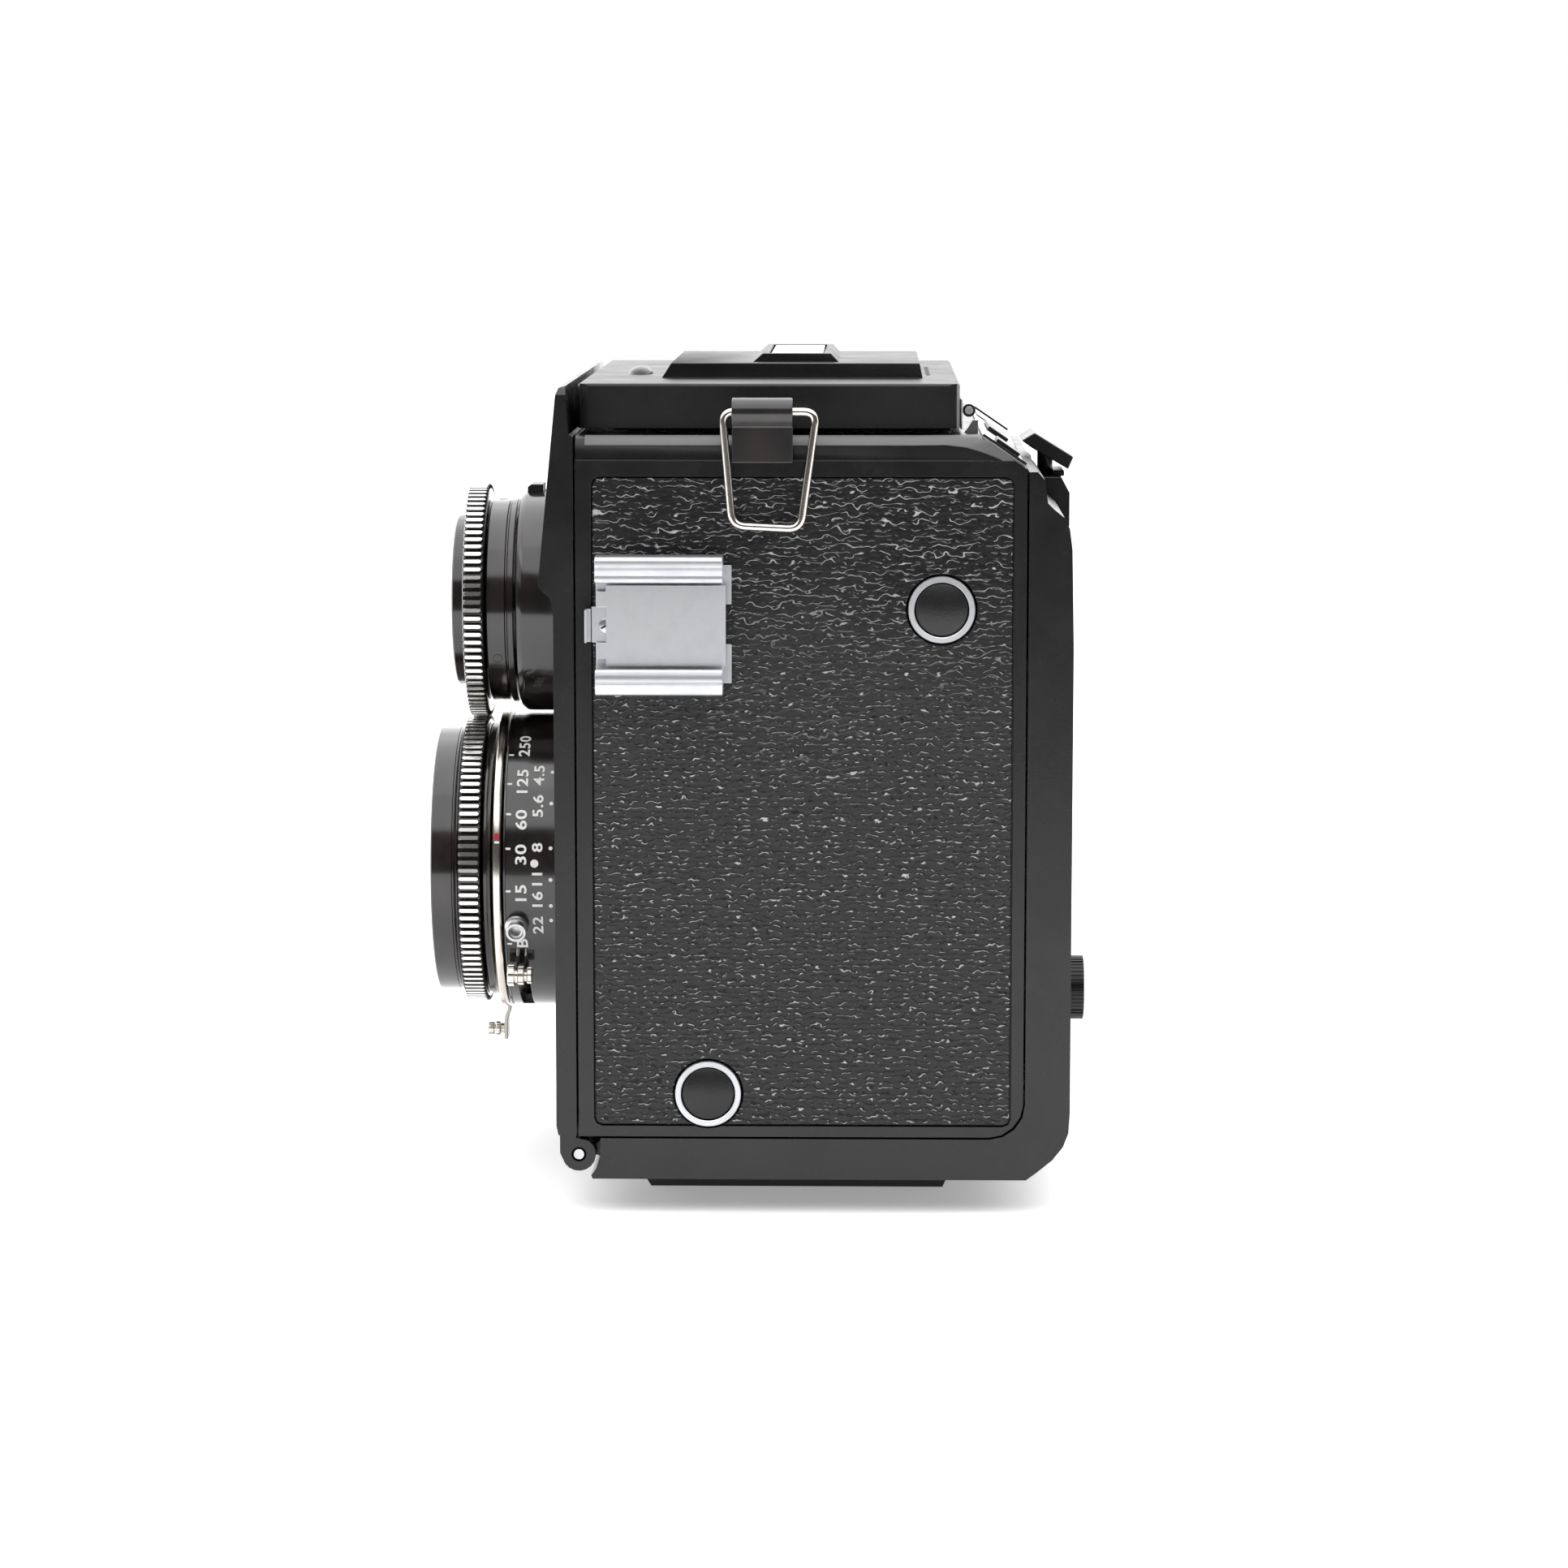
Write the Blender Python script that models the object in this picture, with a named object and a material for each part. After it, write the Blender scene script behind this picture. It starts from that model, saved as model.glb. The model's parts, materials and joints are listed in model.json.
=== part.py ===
"""Twin lens reflex camera for 120 roll film, built as separate pieces with real joints.

Frame: +X is the accessory shoe side, -Y is the front (lens side), +Z is up. The origin is on the
flat foot under the camera, on the middle plane. Dimensions are millimetres, times MM.
"""

import math

import bmesh
import bpy
from mathutils import Matrix, Vector

MM = 0.001

# Overall body
HALF_W = 47.0  # body half width at the frame of the side leather
WALL = 2.6
FRONT_Y = -29.4  # front wall of the shell
REAR_Y = 36.1  # rear edge of the shell, where the back door closes
BODY_Z0 = 11.5
SIDE_TOP = 111.0
DECK_Z = 114.7
DOOR_Y = 43.0
DOOR_Z0 = 5.1
PIN_Y, PIN_Z = -29.4, 8.75
GAP = 0.3

# Optics: two axes parallel to Y, coupled through module 0.4 gears
TAKE_Z = 46.0
VIEW_Z = 86.6
TAKE_TEETH = 112
VIEW_TEETH = 90
MODULE = 0.4
TOOTH_HALF = 0.32  # half height of a tooth
GATE = 56.0
FILM_Y = 33.6

# 120 film spools, axis parallel to X
SPOOL_R = 12.4
SPOOL_HALF = 32.9
UPPER = (23.8, 89.6)
LOWER = (-10.3, 17.95)
BUTTON_R = 4.9

# Hood
LID_X, LID_Y0, LID_Y1 = 42.5, -29.3, 26.4
LID_Z0, LID_Z1 = 115.6, 122.1
HOOD_Y, HOOD_Z = -29.9, 121.9  # hood hinge
FLAP_X, FLAP_Z = 35.4, 117.3
REAR_FLAP_Y, REAR_FLAP_Z = 24.4, 118.7
LOUPE_Y, LOUPE_Z = 18.1, 120.2

COLOURS = {
    "black": (0.02, 0.02, 0.021, 0.45, 0.0),
    "leather": (0.03, 0.03, 0.03, 0.6, 0.0),
    "gloss": (0.012, 0.012, 0.013, 0.18, 0.0),
    "alu": (0.72, 0.73, 0.75, 0.35, 1.0),
    "nickel": (0.75, 0.7, 0.64, 0.22, 1.0),
    "steel": (0.55, 0.55, 0.56, 0.4, 1.0),
    "glass": (0.5, 0.6, 0.62, 0.05, 0.0),
    "red": (0.5, 0.02, 0.02, 0.1, 0.0),
    "screen": (0.7, 0.72, 0.7, 0.5, 0.0),
    "mirror": (0.85, 0.86, 0.88, 0.04, 1.0),
    "white": (0.8, 0.8, 0.78, 0.4, 0.0),
}


def clear_scene():
    for old in list(bpy.data.objects):
        bpy.data.objects.remove(old, do_unlink=True)


def material(name, key):
    red, green, blue, rough, metal = COLOURS[key]
    made = bpy.data.materials.new(name + "_mat")
    made.use_nodes = True
    shader = made.node_tree.nodes["Principled BSDF"]
    shader.inputs["Base Color"].default_value = (red, green, blue, 1)
    shader.inputs["Roughness"].default_value = rough
    shader.inputs["Metallic"].default_value = metal
    return made


def finish(name, bm, key=None, origin=(0, 0, 0), smooth=False):
    """Makes an object of this mesh in millimetres, with its origin at the given point."""
    bmesh.ops.remove_doubles(bm, verts=bm.verts, dist=1e-5)
    bmesh.ops.recalc_face_normals(bm, faces=bm.faces)
    centre = Vector(origin)
    for vert in bm.verts:
        vert.co = (vert.co - centre) * MM
    mesh = bpy.data.meshes.new(name)
    bm.to_mesh(mesh)
    bm.free()
    obj = bpy.data.objects.new(name, mesh)
    obj.location = centre * MM
    bpy.context.scene.collection.objects.link(obj)
    if key:
        mesh.materials.append(material(name, key))
    if smooth:
        for face in mesh.polygons:
            face.use_smooth = len(face.vertices) <= 4
    return obj


def spread(point, along, axis):
    """A 2D outline point and a height along the axis, as a 3D point."""
    if axis == "X":
        return (along, point[0], point[1])
    if axis == "Y":
        return (point[0], along, point[1])
    return (point[0], point[1], along)


def prism(points, low, high, axis="X"):
    """A closed outline carried straight along one axis."""
    bm = bmesh.new()
    ends = [[bm.verts.new(spread(p, at, axis)) for p in points] for at in (low, high)]
    bm.faces.new(ends[0])
    bm.faces.new(reversed(ends[1]))
    for i in range(len(points)):
        j = (i + 1) % len(points)
        bm.faces.new((ends[0][i], ends[0][j], ends[1][j], ends[1][i]))
    return bm


def box(x0, x1, y0, y1, z0, z1):
    return prism([(x0, y0), (x1, y0), (x1, y1), (x0, y1)], z0, z1, "Z")


def circle(cx, cy, radius, count, start=0.0):
    step = 2 * math.pi / count
    return [(cx + radius * math.cos(start + i * step), cy + radius * math.sin(start + i * step))
            for i in range(count)]


def rounded(x0, x1, y0, y1, radius, steps=3):
    """A rectangle outline with round corners."""
    points = []
    for cx, cy, start in ((x1 - radius, y1 - radius, 0), (x0 + radius, y1 - radius, 90),
                          (x0 + radius, y0 + radius, 180), (x1 - radius, y0 + radius, 270)):
        for i in range(steps + 1):
            turn = math.radians(start + 90 * i / steps)
            points.append((cx + radius * math.cos(turn), cy + radius * math.sin(turn)))
    return points


def lathe(profile, axis, centre, count=48, start=0.0):
    """A profile of (radius, along) turned round the axis through centre. A radius of 0 closes it."""
    bm = bmesh.new()
    rows = []
    for radius, along in profile:
        if radius <= 0:
            rows.append([bm.verts.new(spread(centre, along, axis))] * count)
        else:
            ring = circle(centre[0], centre[1], radius, count, start)
            rows.append([bm.verts.new(spread(p, along, axis)) for p in ring])
    for a, b in zip(rows, rows[1:] + rows[:1]):
        for i in range(count):
            j = (i + 1) % count
            corners = []
            for vert in (a[i], a[j], b[j], b[i]):
                if vert not in corners:
                    corners.append(vert)
            if len(corners) > 2:
                bm.faces.new(corners)
    return bm


def gear(teeth, centre, y0, y1, bore, phase):
    """A spur gear ring with pointed teeth. A tooth is centred on the phase angle."""
    bm = bmesh.new()
    pitch = MODULE * teeth / 2
    points = []
    for i in range(teeth):
        for half, radius in ((0, pitch + TOOTH_HALF), (0.5, pitch - TOOTH_HALF)):
            turn = phase + 2 * math.pi * (i + half) / teeth
            points.append((centre[0] + radius * math.cos(turn), centre[1] + radius * math.sin(turn)))
    count = len(points)
    inner = circle(centre[0], centre[1], bore, count // 4, phase)
    rows = [[bm.verts.new(spread(p, at, "Y")) for p in line]
            for line, at in ((points, y0), (points, y1), (inner, y1), (inner, y0))]
    for i in range(count):
        j = (i + 1) % count
        bm.faces.new((rows[0][i], rows[0][j], rows[1][j], rows[1][i]))
    few = count // 4
    for i in range(few):
        j = (i + 1) % few
        bm.faces.new((rows[2][i], rows[2][j], rows[3][j], rows[3][i]))
        for outer, hole in ((rows[0], rows[3]), (rows[1], rows[2])):
            for k in range(4):
                bm.faces.new((outer[4 * i + k], outer[(4 * i + k + 1) % count], hole[i]))
            bm.faces.new((outer[(4 * i + 4) % count], hole[j], hole[i]))
    return bm


def boolean(obj, bm, operation="DIFFERENCE", label="cut"):
    """Cuts the closed mesh from the object, or joins it on."""
    name = f"{label}_{obj.name}_{len(obj.modifiers)}"
    tool = finish(name, bm)
    tool.hide_render = True
    tool.display_type = "WIRE"
    step = obj.modifiers.new(label, "BOOLEAN")
    step.operation = operation
    step.solver = "EXACT"
    step.object = tool
    return obj


def join(obj, bm):
    return boolean(obj, bm, "UNION", "join")


def wedge(points, low, high, axis="Y"):
    return prism(points, low, high, axis)


# ---------------------------------------------------------------- body

def body_shell():
    """The moulded outer shell, open at the back and the bottom, with a sloping rear shoulder."""
    outline = [(FRONT_Y, BODY_Z0), (31.1, BODY_Z0), (33.0, 11.9), (34.6, 13.0), (35.7, 14.6),
               (REAR_Y, 16.5), (REAR_Y, 110.0), (29.2, DECK_Z), (FRONT_Y, DECK_Z)]
    obj = finish("body_shell", prism(outline, -HALF_W, HALF_W), "black")
    inner = [(FRONT_Y + WALL, 5), (45, 5), (45, 107.6), (34.2, 107.6), (28.2, 112.1),
             (FRONT_Y + WALL, 112.1)]
    boolean(obj, prism(inner, WALL - HALF_W, HALF_W - WALL))
    for side in (1, -1):
        corner = [(side * 48, SIDE_TOP), (side * 48, 120), (side * 44.9, 120),
                  (side * 44.9, DECK_Z), (side * 45.8, 114.3), (side * 46.35, 113.4),
                  (side * 46.6, SIDE_TOP + 0.25)]
        boolean(obj, wedge(corner, -40, 50))
        pocket = rounded(-27.1, 34.3, 13.1, 108.9, 1.2, 2)
        ends = sorted((side * 46.0, side * 49))
        boolean(obj, prism(pocket, *ends))
    boolean(obj, box(-29, 29, -25, 24.5, 105, 120))
    boolean(obj, prism(circle(0, TAKE_Z, 18.5, 32), -35, -20, "Y"))
    boolean(obj, prism(circle(0, VIEW_Z, 13.4, 32), -35, -20, "Y"))
    for side, centre, radius in ((1, UPPER, 5.2), (1, LOWER, 5.2), (-1, UPPER, 3.4),
                                 (-1, LOWER, 5.2)):
        ends = sorted((side * 40, side * 50))
        boolean(obj, prism(circle(*centre, radius, 24), *ends))
    return obj


def front_panel():
    """The front plate: thin over the lower half, stepped forward behind the finder lens."""
    outline = [(-29.7, 11.6), (-32.4, 11.6), (-32.7, 13.0), (-32.7, 89.2), (-33.1, 91.2),
               (-34.1, 92.1), (-34.7, 92.8), (-34.8, 94.0), (-33.8, 103.5), (-32.2, 120.6),
               (-31.8, 121.6), (-30.8, 121.9), (-30.3, 114.9), (-29.7, 114.6)]
    obj = finish("front_panel", prism(outline, -HALF_W, HALF_W), "black")
    for side in (1, -1):
        shoulder = [(side * 48, 119.6), (side * 48, 130), (side * 44.2, 130), (side * 45.2, 122.3),
                    (side * 46.4, 121.3)]
        boolean(obj, wedge(shoulder, -50, -20))
        ends = sorted((side * 43.6, side * 46.9))
        ear = [(-32.2, 14.0), (-32.2, 9.0)]
        ear += [(PIN_Y + 2.5 * math.cos(a), PIN_Z + 2.5 * math.sin(a))
                for a in (math.radians(v) for v in range(195, 420, 20))]
        ear += [(-29.8, 11.2), (-29.8, 14.0)]
        join(obj, prism(ear, *ends))
        boolean(obj, prism(circle(PIN_Y, PIN_Z, 1.1, 16), *sorted((side * 40, side * 50))))
    boolean(obj, prism(circle(0, TAKE_Z, 18.5, 32), -45, -20, "Y"))
    boolean(obj, prism(circle(0, VIEW_Z, 17.6, 48), -45, -33.2, "Y"))
    boolean(obj, prism(circle(0, VIEW_Z, 13.4, 32), -45, -20, "Y"))
    return obj


def leather(name, side, holes):
    """A thin covering panel let into the side of the shell."""
    ends = sorted((side * 46.2, side * 46.85))
    obj = finish(name, prism(rounded(-26.9, 34.1, 13.3, 108.7, 1.0, 2), *ends), "leather")
    for centre, radius in holes:
        boolean(obj, prism(circle(*centre, radius, 32), *sorted((side * 45, side * 48))))
    return obj


def film_chamber():
    """The inner moulding: light cone, film gate and the cheeks that hold both spools."""
    outline = [(-26.2, 12.0), (FILM_Y, 12.0), (FILM_Y, 77.0), (28.0, 77.0), (-26.2, 58.4)]
    obj = finish("film_chamber", prism(outline, -36.2, 36.2), "black")
    upper = [(10.5, 69.5), (FILM_Y, 69.5), (FILM_Y, 100), (30, 103.5), (17, 103.5), (10.5, 97)]
    join(obj, prism(upper, -36.2, 36.2))
    boolean(obj, prism([(-5, 77.06), (50, 77.06), (50, 120), (-5, 120)], -34.3, 34.3))
    cone = bmesh.new()
    half0, half1 = 9.0, GATE / 2
    y0, y1 = -27.0, FILM_Y
    slope = (half1 - half0) / (y1 - y0)
    rows = []
    for y in (y0 - 2, y1 + 2):
        half = half0 + slope * (y - y0)
        rows.append([cone.verts.new((sx * half, y, TAKE_Z + sz * half))
                     for sx, sz in ((-1, -1), (1, -1), (1, 1), (-1, 1))])
    cone.faces.new(rows[0])
    cone.faces.new(reversed(rows[1]))
    for i in range(4):
        j = (i + 1) % 4
        cone.faces.new((rows[0][i], rows[0][j], rows[1][j], rows[1][i]))
    boolean(obj, cone)
    well = [(LOWER[0] + 12.75 * math.cos(a), LOWER[1] + 12.75 * math.sin(a))
            for a in (math.radians(v) for v in range(0, 181, 12))]
    well += [(LOWER[0] - 12.75, 5), (LOWER[0] + 12.75, 5)]
    boolean(obj, prism(well, -34.3, 34.3))
    for centre in (UPPER, LOWER):
        boolean(obj, prism(circle(*centre, 3.6, 20), -40, 40))
    return obj


# ---------------------------------------------------------------- back door

def back_door():
    """The L shaped door: back wall, bottom strip, hinge barrel and the foot under the camera."""
    outline = [(-26.2, 11.2), (31.1, 11.2), (33.13, 11.6), (34.85, 12.75), (36.0, 14.47),
               (36.4, 16.5), (36.4, 109.6), (37.6, 109.6), (38.6, 108.5), (38.8, 107.0),
               (39.1, 105.1), (40.0, 104.2), (41.5, 103.0), (42.3, 101.4), (42.7, 98.4),
               (DOOR_Y, 84.0), (DOOR_Y, 15.3), (42.8, 12.2), (42.0, 10.1), (40.4, 8.1),
               (38.2, 6.3), (36.6, DOOR_Z0), (-27.4, DOOR_Z0), (-27.6, 5.6), (-26.3, 7.4)]
    obj = finish("back_door", prism(outline, -HALF_W, HALF_W), "black")
    well = [(-23.2, DOOR_Z0 + 0.6), (-21.4, 2.8), (25.9, 2.8), (27.2, DOOR_Z0 + 0.6)]
    join(obj, prism(well, -36.5, 36.5))
    join(obj, prism([(-21.5, 3.0), (-19.6, 0), (24.6, 0), (26.0, 3.0)], -29, 29))
    hollow = [(-24.4, 6.9), (36.4, 6.9), (38.6, 8.6), (40.2, 10.6), (41.3, 13.4), (41.3, 98.4),
              (40.4, 101.0), (38.0, 102.8), (37.6, 104.5), (30, 104.5), (30, 20), (-24.4, 20)]
    boolean(obj, prism(hollow, -44.4, 44.4))
    boolean(obj, box(-34.2, 34.2, -19.0, -1.6, 3.6, 8))
    boolean(obj, prism(circle(0, 13.0, 4.9, 24), -1, 8, "Z"))
    barrel = [(PIN_Y + 2.4 * math.cos(a), PIN_Z + 2.4 * math.sin(a))
              for a in (math.radians(v) for v in range(20, 341, 20))]
    join(obj, prism([(-26.0, 7.6), (-25.4, 7.0), (-25.4, 10.6), (-26.0, 10.3)] + barrel,
                    -43.2, 43.2))
    boolean(obj, prism(circle(PIN_Y, PIN_Z, 1.1, 16), -44, 44))
    boolean(obj, box(-9.4, 9.4, 38.0, 50, 98.5, 115))
    boolean(obj, prism(circle(0, 25.6, 1.9, 16), 40, 50, "Y"))
    boolean(obj, prism(circle(-13.0, 25.6, 5.3, 24), 40, 50, "Y"))
    return obj


def door_fittings():
    finish("door_hinge_pin", lathe([(0, -46.9), (0.8, -46.9), (0.8, 46.9), (0, 46.9)], "X",
                                   (PIN_Y, PIN_Z), 16), "nickel", smooth=True)
    block = [(38.3, 98.8), (43.9, 98.8), (43.9, 104.0), (42.6, 106.4), (38.3, 106.4)]
    obj = finish("latch_block", prism(block, -9.1, 9.1), "black")
    boolean(obj, prism(circle(0, 40.4, 1.6, 16), 101, 110, "Z"))
    slab = [(36.5, 111.9), (38.5, 113.1), (44.5, 109.4), (43.7, 107.5), (38.2, 110.7)]
    latch = finish("door_latch", prism(slab, -8, 8), "black", (0, 40.4, 106))
    join(latch, prism(circle(0, 40.4, 1.2, 16), 102, 110.6, "Z"))
    plate = finish("pressure_plate", prism(rounded(-31, 31, 16, 76, 2, 2), 37.4, 38.3, "Y"), "steel",
                   (0, 37.85, TAKE_Z))
    boolean(plate, prism(circle(-13.0, 25.6, 5.3, 20), 30, 45, "Y"))
    ring = lathe([(3.1, 0.2), (4.6, 0.2), (4.6, 5.9), (3.1, 5.9)], "Z", (0, 13.0), 32)
    finish("tripod_socket", ring, "steel", smooth=True)
    finish("window_glass", lathe([(0, 41.7), (4.9, 41.7), (4.9, 42.8), (0, 42.8)], "Y",
                                 (-13.0, 25.6), 32), "red")
    knob = lathe([(0, 40.2), (1.5, 40.2), (1.5, 43.4), (5.0, 43.4), (5.0, 46.6), (4.6, 47.1),
                  (0, 47.1)], "Y", (0, 25.6), 24)
    cover = finish("window_knob", knob, "black", (0, 43.4, 25.6), smooth=True)
    blade = [(1.0, 22.9), (1.0, 28.3), (-13, 31.6), (-16.9, 30.2), (-18.8, 25.6), (-16.9, 21.0),
             (-13, 19.6)]
    join(cover, prism(blade, 40.3, 40.9, "Y"))


# ---------------------------------------------------------------- film transport

def spool(name, centre):
    """A film spool: two flanges on a thin core, open at each end for the drive key."""
    end, flange = SPOOL_HALF, 1.1
    profile = [(0, -end + 5), (2.9, -end + 5), (2.9, -end), (SPOOL_R, -end), (SPOOL_R, flange - end),
               (5.2, flange - end), (5.2, end - flange), (SPOOL_R, end - flange), (SPOOL_R, end),
               (2.9, end), (2.9, end - 5), (0, end - 5)]
    finish(name, lathe(profile, "X", centre, 24), "black", (0, *centre), smooth=True)


def advance_knob():
    """The film advance knob on the left side, in one piece with its shaft and drive key."""
    shaft = lathe([(0, -56.2), (9.6, -56.2), (10.6, -55.6), (10.6, -48.4), (3.0, -48.4),
                   (3.0, -37.0), (2.3, -37.0), (2.3, -29.6), (0, -29.6)], "X", UPPER, 24)
    obj = finish("advance_knob", shaft, "black", (-47, *UPPER), smooth=True)
    teeth = []
    for i in range(32):
        for half, radius in ((0, 11.3), (0.5, 10.8)):
            turn = 2 * math.pi * (i + half) / 32
            teeth.append((UPPER[0] + radius * math.cos(turn), UPPER[1] + radius * math.sin(turn)))
    join(obj, prism(teeth, -55.0, -49.0))


def button(name, side, centre, ring):
    """A sprung spool pin whose head shows in the side of the body."""
    head = 3.75 if ring else BUTTON_R
    profile = [(0, 29.6), (2.2, 29.6), (2.2, 43.2), (head, 43.2), (head, 47.1), (0, 47.1)]
    profile = [(r, side * a) for r, a in profile]
    finish(name, lathe(profile, "X", centre, 20), "black" if ring else "alu",
           (side * 47, *centre), smooth=True)
    if ring:
        finish(ring, lathe([(4.0, 44.5), (BUTTON_R, 44.5), (BUTTON_R, 47.3), (4.0, 47.3)], "X",
                           centre, 32), "alu", (side * 47, *centre), smooth=True)


# ---------------------------------------------------------------- side fittings

def shoe():
    """The accessory shoe: a folded channel, its leaf spring with a bent stop, and one screw."""
    y0, y1 = -26.4, -7.9
    outline = [(47.1, 77.4), (51.2, 77.4), (51.2, 81.2), (50.2, 81.2), (50.2, 78.5), (48.1, 78.5),
               (48.1, 96.5), (50.2, 96.5), (50.2, 93.6), (51.2, 93.6), (51.2, 97.6), (47.1, 97.6)]
    finish("shoe_base", prism(outline, y0, y1, "Y"), "alu")
    spring = finish("shoe_spring", box(48.4, 48.9, -24.6, -7.5, 81.5, 93.3), "alu")
    neck = [(48.45, -24.0), (48.45, -27.9), (50.3, -27.9), (50.3, -27.2), (48.75, -27.2),
            (48.75, -24.0)]
    join(spring, prism(neck, 85.0, 89.8, "Z"))
    screw = lathe([(0, 49.05), (1.05, 49.05), (1.05, 49.65), (0, 49.65)], "X", (-25.85, 87.4), 16)
    obj = finish("shoe_screw", screw, "steel")
    boolean(obj, box(49.4, 51, -26.05, -25.65, 85, 90))


def lug(name, side):
    """A folded strap lug standing on the shoulder, rolled round the ring at its top."""
    centre = (48.2, 118.3)
    band = [(48.5, 110.9), (48.5, 118.3), (47.5, 118.3), (47.5, 112.5), (46.8, 112.5),
            (46.8, 111.5), (47.3, 111.3), (47.3, 110.9)]
    obj = finish(name, prism([(side * x, z) for x, z in band], -6.6, 2.2, "Y"), "gloss")
    join(obj, prism(circle(side * centre[0], centre[1], 2.1, 20), -6.6, 2.2, "Y"))
    boolean(obj, prism(circle(side * centre[0], centre[1], 1.0, 16), -9, 5, "Y"))


def strap_ring(name, side):
    """A bent wire ring, a little wider at the top, hanging from its lug."""
    corners = [(-8.0, 118.3), (5.6, 118.3), (3.3, 101.4), (-6.6, 101.9)]
    path = []
    for i, corner in enumerate(corners):
        here = Vector(corner)
        back = (Vector(corners[i - 1]) - here).normalized()
        ahead = (Vector(corners[(i + 1) % 4]) - here).normalized()
        a, b = here + back * 1.3, here + ahead * 1.3
        for t in (0.0, 0.5, 1.0):
            path.append(a * (1 - t) ** 2 + here * 2 * t * (1 - t) + b * t * t)
    bm = bmesh.new()
    rows = []
    for i, here in enumerate(path):
        along = (path[(i + 1) % len(path)] - path[i - 1]).normalized()
        across = Vector((-along.y, along.x))
        ring = []
        for k in range(8):
            turn = 2 * math.pi * k / 8
            flat = here + across * 0.6 * math.cos(turn)
            ring.append(bm.verts.new((side * (48.2 + 0.6 * math.sin(turn)), flat.x, flat.y)))
        rows.append(ring)
    for i in range(len(rows)):
        a, b = rows[i], rows[(i + 1) % len(rows)]
        for k in range(8):
            bm.faces.new((a[k], a[(k + 1) % 8], b[(k + 1) % 8], b[k]))
    finish(name, bm, "nickel", (side * 48.2, 0, 118.3), smooth=True)


# ---------------------------------------------------------------- lenses and shutter

def lens(name, centre, radius, front, back, bulge0, bulge1, count=32):
    """A glass element with round faces."""
    profile = [(0, front - bulge0), (radius * 0.5, front - bulge0 * 0.75), (radius, front),
               (radius, back), (radius * 0.5, back + bulge1 * 0.75), (0, back + bulge1)]
    finish(name, lathe(profile, "Y", centre, count), "glass", (0, front, centre[1]), smooth=True)


def viewing_lens():
    axis = (0, VIEW_Z)
    flange = lathe([(12.6, -39.9), (16.6, -40.7), (17.2, -40.1), (17.2, -33.5), (12.6, -33.5)],
                   "Y", axis, 48)
    obj = finish("view_flange", flange, "gloss", (0, -40, VIEW_Z), smooth=True)
    join(obj, box(-3, 3, -39.8, -37.2, VIEW_Z + 16.6, VIEW_Z + 18.2))
    sleeve = lathe([(11.0, -45.2), (15.7, -45.2), (15.7, -42.4), (15.2, -42.3), (15.2, -42.1),
                    (15.9, -42.0), (15.9, -41.0), (12.2, -41.0), (12.2, -35.5), (11.0, -35.5)],
                   "Y", axis, 32)
    finish("view_sleeve", sleeve, "gloss", (0, -41, VIEW_Z), smooth=True)
    # the lowest point of the viewing gear is a gap, and the top of the taking gear is a tooth
    phase = -math.pi / 2 + math.pi / VIEW_TEETH
    finish("view_gear", gear(VIEW_TEETH, axis, -48.6, -45.5, 13.3, phase), "alu",
           (0, -47, VIEW_Z))
    rim = lathe([(10.6, -50.2), (12.7, -50.7), (13.1, -50.4), (13.1, -45.6), (11.3, -45.6),
                 (11.3, -48.6), (10.6, -48.9)], "Y", axis, 32)
    finish("view_rim", rim, "gloss", (0, -47, VIEW_Z), smooth=True)
    lens("view_front_glass", axis, 11.0, -48.3, -46.4, 1.0, 0.0)


def taking_lens():
    axis = (0, TAKE_Z)
    sleeve = lathe([(10.2, -45.6), (21.5, -45.6), (21.5, -44.4), (16.2, -44.2), (11.4, -44.2),
                    (11.4, -40.4), (10.2, -40.4)], "Y", axis, 32)
    finish("take_sleeve", sleeve, "gloss", (0, -44, TAKE_Z), smooth=True)
    phase = math.pi / 2
    finish("take_gear", gear(TAKE_TEETH, axis, -49.3, -45.9, 19.0, phase), "alu",
           (0, -47, TAKE_Z))
    rim = lathe([(19.4, -53.6), (20.65, -53.6), (20.65, -50.3), (21.3, -49.6), (18.7, -49.6),
                 (18.7, -46.0), (10.2, -46.0), (10.2, -48.6), (11.2, -49.2), (19.4, -50.6)],
                "Y", axis, 40)
    finish("filter_rim", rim, "gloss", (0, -50, TAKE_Z), smooth=True)
    lens("take_front_glass", axis, 9.9, -48.4, -46.4, 1.2, 0.0)
    lens("take_rear_glass", axis, 8.6, -34.8, -33.6, 0.0, 0.8)


def polar(radius, degrees):
    turn = math.radians(degrees)
    return (radius * math.cos(turn), TAKE_Z + radius * math.sin(turn))


def sector(r0, r1, a0, a1, y0, y1, steps=6):
    """A curved block round the taking axis, between two radii and two angles."""
    turns = [a0 + (a1 - a0) * i / steps for i in range(steps + 1)]
    points = [polar(r1, a) for a in turns] + [polar(r0, a) for a in reversed(turns)]
    return prism(points, y0, y1, "Y")


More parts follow.
